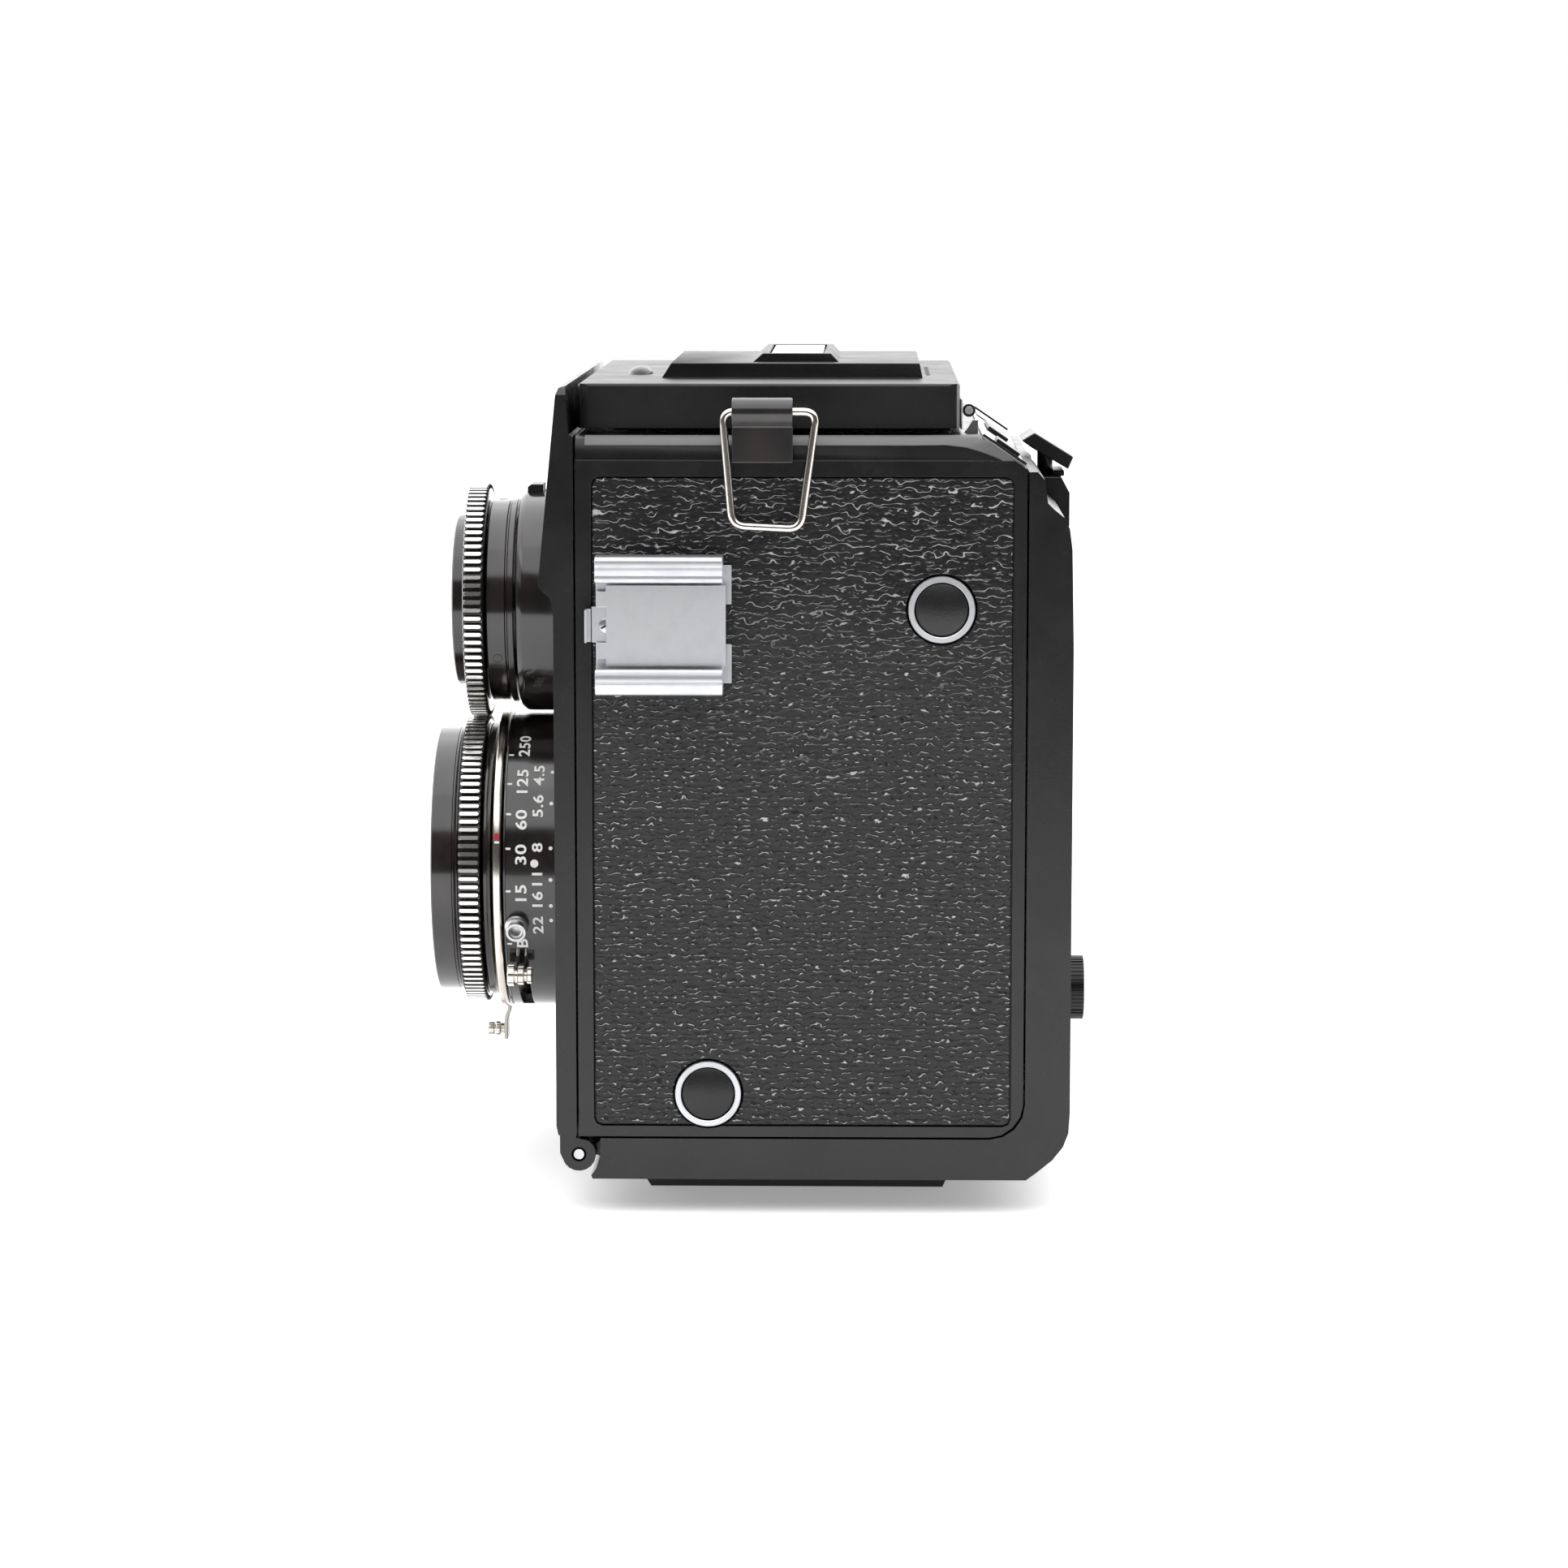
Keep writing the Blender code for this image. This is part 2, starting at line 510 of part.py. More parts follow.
def shutter():
    housing = lathe([(12.0, -42.2), (23.0, -42.2), (23.0, -33.0), (8.9, -33.0), (8.9, -35.0),
                     (21.4, -35.0), (21.4, -40.9), (12.0, -40.9)], "Y", (0, TAKE_Z), 48)
    obj = finish("shutter_housing", housing, "gloss", (0, -38, TAKE_Z), smooth=True)
    boolean(obj, sector(20, 25, -76, -29, -40.6, -38.9, 6))
    boolean(obj, sector(20, 25, 133, 196, -38.4, -36.6, 6))
    boolean(obj, sector(20, 25, 202.5, 236, -38.4, -36.6, 4))
    ring = lathe([(16.6, -43.9), (23.4, -43.9), (23.4, -42.6), (16.6, -42.6)], "Y", (0, TAKE_Z), 40)
    speed = finish("speed_ring", ring, "nickel", (0, -43, TAKE_Z), smooth=True)
    join(speed, box(1.2, 5.2, -43.8, -42.9, TAKE_Z - 28.0, TAKE_Z - 22.4))
    join(speed, prism(circle(3.2, TAKE_Z - 26.7, 1.1, 16), -46.4, -43.4, "Y"))
    lever("aperture_lever", -36.5, -40.3, -39.3, 17.0, 26.4, 1.3, (0, -39.8, TAKE_Z), "nickel")
    lever("cocking_lever", 190, -38.0, -37.0, 17.0, 28.6, 1.6, (0, -37.5, TAKE_Z), "nickel")
    lever("release_lever", 229, -38.0, -37.0, 17.0, 28.0, 1.6, (0, -37.5, TAKE_Z), "nickel")
    socket = lathe([(0, 23.2), (1.8, 23.2), (1.8, 23.9), (1.5, 23.9), (1.5, 25.7), (0.8, 25.7),
                    (0.8, 24.2), (0, 24.2)], "Z", (0, 0), 20)
    turn = Matrix.Rotation(math.radians(90 + 18), 4, "Y")
    socket.transform(Matrix.Translation((0, -40.3, TAKE_Z)) @ turn)
    finish("pc_socket", socket, "steel", smooth=True)
    blades()


def lever(name, degrees, y0, y1, r0, r1, half, origin, key):
    """A flat lever that swings round the taking axis, with an upright finger tab at its end."""
    side = Vector(polar(1, degrees + 90)) - Vector((0, TAKE_Z))
    low, high = Vector(polar(r0, degrees)), Vector(polar(r1, degrees))
    points = [low - side * half, high - side * half, high + side * half, low + side * half]
    obj = finish(name, prism([tuple(p) for p in points], y0, y1, "Y"), key, origin)
    tab = Vector(polar(r1 - 0.9, degrees))
    join(obj, prism(circle(tab.x, tab.y, half + 0.35, 16), y0 - 1.6, y1 + 1.2, "Y"))


def blades():
    """Two shutter leaves, each pivoting on its own pin and meeting over the lens opening."""
    for index, side in ((1, 1), (2, -1)):
        y0 = -36.6 + 0.55 * index
        points = [(side * x, TAKE_Z + z) for x, z in
                  ((-0.8, -9.4), (6.0, -9.2), (9.6, -4.0), (11.0, 3.0), (14.8, 12.2), (15.0, 14.6),
                   (13.2, 15.4), (8.0, 12.0), (3.0, 9.6), (-0.8, 9.4))]
        finish(f"shutter_leaf_{index}", prism(points, y0, y0 + 0.25, "Y"), "steel",
               (side * 13.9, y0, TAKE_Z + 14.0))


# ---------------------------------------------------------------- finder and hood

def finder():
    """The fixed 45 degree mirror on its bracket, and the focusing screen above it."""
    centre = Vector((-1.0, 86.6))
    along = Vector((1, 1)).normalized()
    out = Vector((-1, 1)).normalized()

    def slab(a0, a1, d0, d1):
        return [tuple(centre + along * a + out * d) for a, d in
                ((a0, d0), (a1, d0), (a1, d1), (a0, d1))]

    finish("mirror", prism(slab(-25, 25, -1.5, 0), -24, 24), "mirror")
    bracket = finish("mirror_bracket", prism(slab(-25.5, 25.5, -3.4, -1.8), -28, 28), "black")
    for side in (1, -1):
        join(bracket, prism(slab(-24, 24, -3.0, 5.0), *sorted((side * 26.6, side * 28.4))))
    finish("focusing_screen", box(-28.4, 28.4, -24.4, 23.9, 112.7, 114.4), "screen")


def hood():
    frame = finish("hood_frame", box(-36.0, 36.0, -24.4, 25.2, 115.0, 116.8), "black")
    boolean(frame, box(-28.5, 28.5, -22.0, 22.4, 110, 120))
    lid_outline = rounded(-LID_X, LID_X, LID_Y0, LID_Y1, 1.6, 2)
    lid = finish("hood_lid", prism(lid_outline, LID_Z0, LID_Z1, "Z"), "black", (0, HOOD_Y, HOOD_Z))
    boolean(lid, box(-41.0, 41.0, -27.9, 25.5, 110, 120.9))
    tier = [(-18.2, 121.5), (21.3, 121.5), (20.7, 124.3), (-16.4, 124.3)]
    join(lid, prism(tier, -24, 24))
    boolean(lid, prism([(-15.6, 119), (19.4, 119), (19.0, 123.1), (-15.0, 123.1)], -22.6, 22.6))
    bezel = [(-4.9, 123.8), (9.1, 123.8), (7.4, 125.6), (-2.8, 125.6)]
    join(lid, prism(bezel, -19.2, 19.2))
    boolean(lid, box(-17.3, 17.3, -1.9, 6.5, 125.0, 130))
    finish("lid_insert", box(-17.0, 17.0, -1.6, 6.2, 125.3, 125.5), "white")
    flaps()
    loupe()
    hood_fittings()


def flaps():
    """Three thin walls of the hood, folded flat under the lid: two sides, then the rear above."""
    for name, side in (("flap_right", 1), ("flap_left", -1)):
        points = [(side * FLAP_X, -17.5), (side * FLAP_X, 17.5), (side * (FLAP_X - 6.2), 17.5),
                  (side * (FLAP_X - 14.6), 9.1), (side * (FLAP_X - 14.6), -14.0),
                  (side * (FLAP_X - 11), -17.5)]
        finish(name, prism(points, 117.1, 117.6, "Z"), "black", (side * FLAP_X, 0, FLAP_Z))
    rear = [(-33, REAR_FLAP_Y), (33, REAR_FLAP_Y), (33, REAR_FLAP_Y - 13),
            (28, REAR_FLAP_Y - 18), (-28, REAR_FLAP_Y - 18), (-33, REAR_FLAP_Y - 13)]
    finish("flap_rear", prism(rear, 118.4, 118.9, "Z"), "black", (0, REAR_FLAP_Y, REAR_FLAP_Z))


def loupe():
    """The folding magnifier: a thin square frame with its lens, hinged under the lid."""
    plate = prism(rounded(-11, 11, LOUPE_Y - 21.4, LOUPE_Y, 2, 2), 119.8, 120.5, "Z")
    obj = finish("loupe_frame", plate, "black", (0, LOUPE_Y, LOUPE_Z))
    middle = (0, LOUPE_Y - 10.8)
    boolean(obj, prism(circle(*middle, 8.6, 24), 110, 130, "Z"))
    glass = lathe([(0, 119.5), (4.5, 119.6), (8.3, 119.9), (8.3, 120.2), (4.5, 120.5),
                   (0, 120.6)], "Z", middle, 24)
    finish("loupe_glass", glass, "glass", (0, LOUPE_Y, LOUPE_Z), smooth=True)


def hood_fittings():
    """The fixed plate behind the lid with its side gussets, and the sliding hood catch."""
    plate = finish("hood_rear_plate", box(-37, 37, 27.4, 27.9, 115.1, 120.4), "steel")
    for side in (1, -1):
        gusset = [(27.7, 115.1), (29.0, 115.1), (29.9, 116.0), (28.0, 118.6), (27.7, 118.6)]
        join(plate, prism(gusset, *sorted((side * 35.8, side * 37.0))))
        join(plate, prism(circle(28.0, 118.0, 0.8, 12), *sorted((side * 35.5, side * 37.6))))
    base = Vector((32.9, 112.6))
    along = Vector((6.9, -4.7)).normalized()
    out = Vector((4.7, 6.9)).normalized()
    block = [base + along * a + out * d for a, d in ((-2.6, 0.4), (2.4, 0.4), (2.0, 2.6), (-2.2, 2.6))]
    finish("hood_catch", prism([tuple(p) for p in block], 12, 24), "black", (18, 32.9, 112.6))


def build():
    clear_scene()
    body_shell()
    front_panel()
    leather("leather_right", 1, ((UPPER, 5.2), (LOWER, 5.2)))
    leather("leather_left", -1, ((UPPER, 3.4), (LOWER, 5.2)))
    film_chamber()
    back_door()
    door_fittings()
    spool("take_up_spool", UPPER)
    spool("feed_spool", LOWER)
    advance_knob()
    button("upper_button", 1, UPPER, "upper_button_ring")
    button("lower_button", 1, LOWER, "lower_button_ring")
    button("left_button", -1, LOWER, None)
    shoe()
    for name, side in (("right", 1), ("left", -1)):
        lug("lug_" + name, side)
        strap_ring("ring_" + name, side)
    viewing_lens()
    taking_lens()
    shutter()
    finder()
    hood()


build()
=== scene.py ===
"""Twin lens reflex camera: the fine surfaces, materials, light and view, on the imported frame.

Lengths are in millimetres and angles in degrees, unless a comment says otherwise. +X is the
camera's own left side, -Y its front and +Z up.
"""
import json
import math

import bmesh
import bpy
from mathutils import Matrix, Vector

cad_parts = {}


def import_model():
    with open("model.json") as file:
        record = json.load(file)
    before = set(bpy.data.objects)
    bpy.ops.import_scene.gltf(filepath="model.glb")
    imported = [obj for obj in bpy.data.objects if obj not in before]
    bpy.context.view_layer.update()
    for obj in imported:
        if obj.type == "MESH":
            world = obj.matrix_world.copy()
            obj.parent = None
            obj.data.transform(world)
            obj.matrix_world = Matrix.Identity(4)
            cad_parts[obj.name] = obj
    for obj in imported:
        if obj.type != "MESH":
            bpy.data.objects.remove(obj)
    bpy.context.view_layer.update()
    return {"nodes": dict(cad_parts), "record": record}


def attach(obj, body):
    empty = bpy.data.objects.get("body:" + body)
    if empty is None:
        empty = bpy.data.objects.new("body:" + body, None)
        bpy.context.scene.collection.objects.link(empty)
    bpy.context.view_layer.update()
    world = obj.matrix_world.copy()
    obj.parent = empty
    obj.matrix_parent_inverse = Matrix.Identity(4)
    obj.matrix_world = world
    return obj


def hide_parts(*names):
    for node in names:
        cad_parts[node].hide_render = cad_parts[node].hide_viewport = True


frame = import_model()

BODIES = frame["record"]["behaviour"]["bodies"]
BODY_OF = {node: body for body, nodes in BODIES.items() for node in nodes}
MM = 0.001  # one millimetre in metres
PER_METRE = 1000.0
TAKE_Z, VIEW_Z = 46.0, 86.6
TAKE_AXIS, VIEW_AXIS = (0, TAKE_Z), (0, VIEW_Z)
UPPER_SPOOL, LOWER_SPOOL = (23.8, 89.6), (-10.3, 17.95)
SIDES = (("right", 1), ("left", -1))
MAT = {}

# ------------------------------------------------------------------ shader helpers


def calc(tree, kind, *values):
    """A Math node on these values, each a socket or a number."""
    node = tree.nodes.new("ShaderNodeMath")
    node.operation = kind
    for socket, value in zip(node.inputs, values):
        if hasattr(value, "links"):
            tree.links.new(value, socket)
        else:
            socket.default_value = value
    return node.outputs[0]


def smooth_step(tree, value, low, high, out0, out1):
    """Goes from out0 to out1 as the value goes from low to high."""
    node = tree.nodes.new("ShaderNodeMapRange")
    node.interpolation_type = "SMOOTHSTEP"
    for index, number in ((1, low), (2, high), (3, out0), (4, out1)):
        node.inputs[index].default_value = number
    tree.links.new(value, node.inputs[0])
    return node.outputs[0]


class Shader:
    """A small builder for one procedural material on a Principled shader."""

    def __init__(self, name, base, rough, metal=0.0, **sockets):
        self.mat = bpy.data.materials.new(name)
        self.mat.use_nodes = True
        self.tree = self.mat.node_tree
        self.nodes, self.links = self.tree.nodes, self.tree.links
        self.bsdf = self.nodes["Principled BSDF"]
        self.base, self.rough = base, rough
        self.bsdf.inputs["Base Color"].default_value = (*base, 1)
        self.bsdf.inputs["Roughness"].default_value = rough
        self.bsdf.inputs["Metallic"].default_value = metal
        for key, value in sockets.items():
            self.bsdf.inputs[key.replace("_", " ")].default_value = value
        self.coord = self.nodes.new("ShaderNodeTexCoord").outputs["Object"]
        self.height = None
        MAT[name] = self.mat

    def math(self, kind, *values):
        return calc(self.tree, kind, *values)

    def noise(self, size, detail=3.0, rough=0.55, stretch=(1, 1, 1)):
        """Noise with a grain of about size millimetres, drawn out where stretch is below 1."""
        mapping = self.nodes.new("ShaderNodeMapping")
        mapping.inputs["Scale"].default_value = stretch
        self.links.new(self.coord, mapping.inputs["Vector"])
        node = self.nodes.new("ShaderNodeTexNoise")
        node.inputs["Scale"].default_value = PER_METRE / size
        node.inputs["Detail"].default_value = detail
        node.inputs["Roughness"].default_value = rough
        self.links.new(mapping.outputs[0], node.inputs["Vector"])
        return node.outputs["Fac"]

    def ramp(self, value, low, high, out0=0.0, out1=1.0):
        return smooth_step(self.tree, value, low, high, out0, out1)

    def add_height(self, value, amount):
        """Adds a share of this value to the height that bump reads."""
        part = self.math("MULTIPLY", value, amount)
        self.height = part if self.height is None else self.math("ADD", self.height, part)

    def bump(self, distance, strength):
        node = self.nodes.new("ShaderNodeBump")
        node.inputs["Distance"].default_value = distance * MM
        node.inputs["Strength"].default_value = strength
        self.links.new(self.height, node.inputs["Height"])
        self.links.new(node.outputs[0], self.bsdf.inputs["Normal"])

    def vary_rough(self, value, spread):
        """Lets the roughness swing by spread round its middle."""
        swing = self.math("MULTIPLY_ADD", value, spread, self.rough - spread / 2)
        self.links.new(swing, self.bsdf.inputs["Roughness"])

    def mix_color(self, value, other):
        """Mixes another colour over what the base colour holds so far."""
        node = self.nodes.new("ShaderNodeMix")
        node.data_type = "RGBA"
        self.links.new(value, node.inputs["Factor"])
        before = self.bsdf.inputs["Base Color"].links
        if before:
            self.links.new(before[0].from_socket, node.inputs["A"])
        else:
            node.inputs["A"].default_value = (*self.base, 1)
        node.inputs["B"].default_value = (*other, 1)
        self.links.new(node.outputs["Result"], self.bsdf.inputs["Base Color"])


def plastic(name, base, rough, grain, depth, wear=(0.022, 0.022, 0.023)):
    """Moulded black plastic: fine grain, cloudy gloss, faint dust and rubbed spots."""
    sh = Shader(name, base, rough, Specular_IOR_Level=0.5)
    fine = sh.noise(grain, 4)
    broad = sh.noise(9.0, 3)
    sh.vary_rough(broad, 0.22)
    sh.mix_color(sh.ramp(sh.noise(2.3, 5, 0.7), 0.55, 0.8, 0.0, 0.5), wear)
    sh.add_height(fine, 1.0)
    sh.add_height(broad, 0.6)
    sh.bump(depth, 0.6)


# heights over which the creases grow bolder and painted shade darkens the covering towards the top
BOLD_SHADE_FROM, BOLD_SHADE_TO = 88 * MM, 128 * MM
# colours: painted shade towards the top, painted shade in the grooves, painted highlight on the
# crests
SHADED, GROOVE_SHADE, CREST_HIGHLIGHT = (0.0015, 0.0015, 0.002), (0.002, 0.002, 0.002), (0.42, 0.42, 0.425)


def leatherette():
    """Pressed black covering: short wavy creases that run mostly sideways, bolder near the top,
    with a painted highlight on each crest, painted shade in the groove under it, and painted shade
    darkening the covering towards the top.
    """
    sh = Shader("leatherette", (0.023, 0.023, 0.024), 0.44, Specular_IOR_Level=0.32)
    split = sh.nodes.new("ShaderNodeSeparateXYZ")
    sh.links.new(sh.coord, split.inputs[0])
    height = split.outputs["Z"]
    bold_and_top_shade = sh.ramp(sh.math("MULTIPLY_ADD", sh.noise(26, 1), 0.05, height),
                   BOLD_SHADE_FROM, BOLD_SHADE_TO)
    coarse, under = crease(sh, height, 1.2, 1.9, 2.3, 0.08)
    fine, below = crease(sh, height, 0.80, 1.25, 2.1, 0.12)
    patches = sh.ramp(sh.noise(1.4, 1, stretch=(1, 0.6, 1.3)), 0.42, 0.50)
    loud = sh.math("MULTIPLY", patches, bold_and_top_shade)
    grain = sh.noise(0.9, 1, stretch=(1, 0.7, 1.2))
    fade = sh.math("MULTIPLY_ADD", bold_and_top_shade, -0.6, 1.0)
    quiet = sh.math("MULTIPLY", sh.ramp(grain, 0.51, 0.60), fade)
    # where the fine grooves are cut deeper and carry painted shade
    hollow_and_shade = sh.math("MULTIPLY", sh.ramp(grain, 0.36, 0.46), fade)
    line = sh.math("MAXIMUM", sh.math("MULTIPLY", coarse, loud),
                   sh.math("MULTIPLY", fine, quiet))
    shade = sh.math("MAXIMUM", sh.math("MULTIPLY", under, loud),
                    sh.math("MULTIPLY", below, hollow_and_shade))
    sh.add_height(line, 1.0)
    sh.add_height(shade, -0.7)
    sh.add_height(sh.noise(0.45, 2), 0.12)
    sh.add_height(sh.noise(1.1, 1, stretch=(1, 0.8, 1.2)), 1.1)
    sh.bump(0.16, 1.0)
    # painted shade darkening the covering towards the top, painted shade in the grooves under the
    # creases, painted highlight on their crests
    sh.mix_color(sh.math("MULTIPLY", bold_and_top_shade, 0.95), SHADED)
    sh.mix_color(sh.math("MULTIPLY", shade, 0.9), GROOVE_SHADE)
    sh.mix_color(sh.math("MULTIPLY", line, 0.95), CREST_HIGHLIGHT)
    sh.links.new(sh.math("MULTIPLY_ADD", line, -0.12, 0.46), sh.bsdf.inputs["Roughness"])


def crease(sh, height, pitch, size, sway, width):
    """Wavy rows pitch millimetres apart: a value on each row's crest, one on its groove."""
    sway_by = sh.math("MULTIPLY", sh.noise(size, 1, stretch=(1, 0.8, 1.2)), sway)
    row = sh.math("MULTIPLY_ADD", height, 1000 / pitch, sway_by)
    across = sh.math("FRACT", row)
    crest_at = 0.45
    groove_at = crest_at + 2.1 * width
    crest = sh.math("ABSOLUTE", sh.math("SUBTRACT", across, crest_at))
    groove = sh.math("ABSOLUTE", sh.math("SUBTRACT", across, groove_at))
    return (sh.ramp(crest, 0.3 * width, width, 1.0, 0.0),
            sh.ramp(groove, 0.3 * width, 1.2 * width, 1.0, 0.0))


def metal(name, base, rough, stretch, grain, depth, swing=0.12):
    """Bare or plated metal: brushed where stretch draws the grain out, with duller clouds."""
    sh = Shader(name, base, rough, metal=1.0)
    fine = sh.noise(grain, 4, stretch=stretch)
    broad = sh.noise(3.5, 3)
    sh.vary_rough(broad, swing)
    dull = tuple(v * 0.86 for v in base)
    sh.mix_color(sh.ramp(broad, 0.4, 0.75, 0, 0.6), dull)
    sh.add_height(fine, 1.0)
    sh.bump(depth, 0.5)


def barrel(name, base, rough, depth=0.0015):
    """Polished black enamel on turned metal, with faint turning marks."""
    sh = Shader(name, base, rough, Specular_IOR_Level=0.62, Coat_Weight=0.35, Coat_Roughness=0.06)
    turned = sh.noise(0.3, 2, stretch=(0.02, 1, 0.02))
    broad = sh.noise(5.0, 3)
    sh.vary_rough(broad, 0.08)
    sh.mix_color(sh.ramp(broad, 0.35, 0.7), (0.022, 0.017, 0.017))
    sh.add_height(turned, 1.0)
    sh.add_height(broad, 2.0)
    sh.bump(depth, 0.5)


def glass(name, tint, coat, rough=0.02):
    """Clear or tinted glass under a thin coating."""
    sh = Shader(name, tint, rough, Transmission_Weight=1.0, IOR=1.52, Coat_Weight=1.0,
                Coat_Roughness=0.02, Coat_IOR=1.7, Coat_Tint=(*coat, 1))
    sh.add_height(sh.noise(8, 1), 1.0)
    sh.bump(0.0005, 0.2)


def paint(name, base, rough=0.5):
    """Dull paint with faint clouds."""
    sh = Shader(name, base, rough)
    cloud = sh.noise(0.6, 4)
    sh.vary_rough(cloud, 0.15)
    sh.mix_color(sh.ramp(cloud, 0.45, 0.75, 0, 0.5), tuple(v * 0.8 for v in base))
    sh.add_height(cloud, 1)
    sh.bump(0.01, 0.4)


EVEN = (1, 1, 1)  # grain of the same size on every axis


def make_materials():
    plastic("body_plastic", (0.0070, 0.0070, 0.0075), 0.27, 0.30, 0.010)
    plastic("grained_plastic", (0.0085, 0.0085, 0.009), 0.36, 0.38, 0.060)
    plastic("lid_plastic", (0.0045, 0.0045, 0.005), 0.38, 0.34, 0.055, (0.012, 0.012, 0.013))
    # the shoulder rail's pale grey base is a painted highlight for the sky reflected in the
    # rounded edge
    plastic("rail_plastic", (0.115, 0.115, 0.118), 0.38, 0.30, 0.008, (0.15, 0.15, 0.15))
    plastic("matt_black", (0.007, 0.007, 0.007), 0.62, 0.22, 0.012)
    leatherette()
    barrel("barrel_black", (0.0085, 0.0068, 0.0064), 0.16)
    barrel("lug_black", (0.012, 0.0115, 0.0115), 0.24, 0.006)
    metal("alu_satin", (0.66, 0.67, 0.70), 0.42, (1, 0.06, 1), 0.2, 0.004)
    metal("alu_bright", (0.70, 0.71, 0.73), 0.40, EVEN, 0.3, 0.002)
    metal("nickel", (0.82, 0.77, 0.71), 0.20, EVEN, 0.5, 0.004, 0.16)
    metal("dull_nickel", (0.40, 0.38, 0.35), 0.30, EVEN, 0.5, 0.004, 0.16)
    metal("steel", (0.58, 0.58, 0.59), 0.34, (0.08, 1, 1), 0.25, 0.004)
    metal("gear_land", (0.93, 0.92, 0.90), 0.22, (1, 0.2, 1), 0.3, 0.002, 0.1)
    metal("mirror", (0.93, 0.94, 0.95), 0.03, EVEN, 6.0, 0.0002, 0.02)
    glass("lens_glass", (0.96, 0.97, 1.0), (0.72, 0.62, 0.95))
    glass("red_glass", (0.55, 0.01, 0.01), (1, 1, 1), 0.06)
    paint("white_paint", (0.82, 0.82, 0.80))
    paint("red_paint", (0.42, 0.012, 0.012))
    paint("insert_white", (0.80, 0.80, 0.78), 0.35)
    screen = Shader("ground_screen", (0.62, 0.64, 0.63), 0.5, Transmission_Weight=0.35, IOR=1.45)
    screen.add_height(screen.noise(0.15, 3), 1.0)
    screen.vary_rough(screen.noise(0.2, 2), 0.2)
    screen.bump(0.02, 0.6)


# ------------------------------------------------------------------ mesh helpers (millimetres)

def spot(point, along, axis):
    """A point of the plane across this axis, at a place along it."""
    if axis == "X":
        return (along, point[0], point[1])
    if axis == "Y":
        return (point[0], along, point[1])
    return (point[0], point[1], along)


def circle(cx, cy, radius, count):
    step = 2 * math.pi / count
    return [(cx + radius * math.cos(i * step), cy + radius * math.sin(i * step))
            for i in range(count)]


def bridge(bm, a, b, index=0):
    """A band of faces between two rings of points."""
    for k in range(len(a)):
        m = (k + 1) % len(a)
        bm.faces.new((a[k], a[m], b[m], b[k])).material_index = index


def add_skin(bm, rows):
    """A skin through rings of points, closed at both ends."""
    for a, b in zip(rows, rows[1:]):
        bridge(bm, a, b)
    bm.faces.new(rows[0])
    bm.faces.new(list(reversed(rows[-1])))


def add_prism(bm, points, low, high, axis="X"):
    """A prism on this outline, from low to high along the axis."""
    ends = [[bm.verts.new(spot(p, at, axis)) for p in points] for at in (low, high)]
    bm.faces.new(ends[0])
    bm.faces.new(list(reversed(ends[1])))
    bridge(bm, *ends)


def add_lathe(bm, profile, axis, centre, count=128, closed=True):
    """Turns a profile of (radius, along) round the axis; a radius of 0 closes it to a point."""
    rows = []
    for radius, along in profile:
        if radius <= 0:
            rows.append([bm.verts.new(spot(centre, along, axis))] * count)
        else:
            ring = circle(centre[0], centre[1], radius, count)
            rows.append([bm.verts.new(spot(p, along, axis)) for p in ring])
    pairs = list(zip(rows, rows[1:])) + ([(rows[-1], rows[0])] if closed else [])
    for a, b in pairs:
        for i in range(count):
            j = (i + 1) % count
            corners = []
            for vert in (a[i], a[j], b[j], b[i]):
                if vert not in corners:
                    corners.append(vert)
            if len(corners) > 2:
                bm.faces.new(corners)


def add_box(bm, x0, x1, y0, y1, z0, z1):
    add_prism(bm, [(x0, y0), (x1, y0), (x1, y1), (x0, y1)], z0, z1, "Z")


def mesh_of(name, bm):
    """This mesh in metres, finished."""
    bm.transform(Matrix.Scale(MM, 4))
    mesh = bpy.data.meshes.new(name)
    bm.to_mesh(mesh)
    bm.free()
    return mesh


def piece(name, bm, mats, body, replaces=(), bevel=0.0, sharp=32, segments=2, move=None):
    """Makes a piece of this mesh, rides it on its body, and lets it stand for CAD nodes."""
    bmesh.ops.remove_doubles(bm, verts=bm.verts, dist=1e-5)
    bmesh.ops.recalc_face_normals(bm, faces=bm.faces)
    if move is not None:
        bm.transform(move)
    return settle(name, mesh_of(name, bm), mats, body, replaces, bevel, sharp, segments)


def turned(name, profile, axis, centre, mats, body, replaces=(), count=128, closed=True, **how):
    """A piece that is one turned profile."""
    bm = bmesh.new()
    add_lathe(bm, profile, axis, centre, count, closed)
    return piece(name, bm, mats, body, replaces, **how)


def settle(name, mesh, mats, body, replaces=(), bevel=0.0, sharp=30, segments=2):
    """Gives a mesh its materials, soft edges, body and the CAD nodes it stands for."""
    obj = bpy.data.objects.new(name, mesh)
    bpy.context.scene.collection.objects.link(obj)
    mats = [mats] if isinstance(mats, str) else mats
    for mat in mats:
        mesh.materials.append(MAT[mat])
    mesh.shade_smooth()
    mesh.set_sharp_from_angle(angle=math.radians(sharp))
    if bevel:
        step = obj.modifiers.new("edge", "BEVEL")
        step.width = bevel * MM
        step.segments = segments
        step.limit_method = "ANGLE"
        step.angle_limit = math.radians(sharp)
        step.harden_normals = True
        step.use_clamp_overlap = True
    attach(obj, body)
    if replaces:
        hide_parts(*([replaces] if isinstance(replaces, str) else replaces))
    return obj


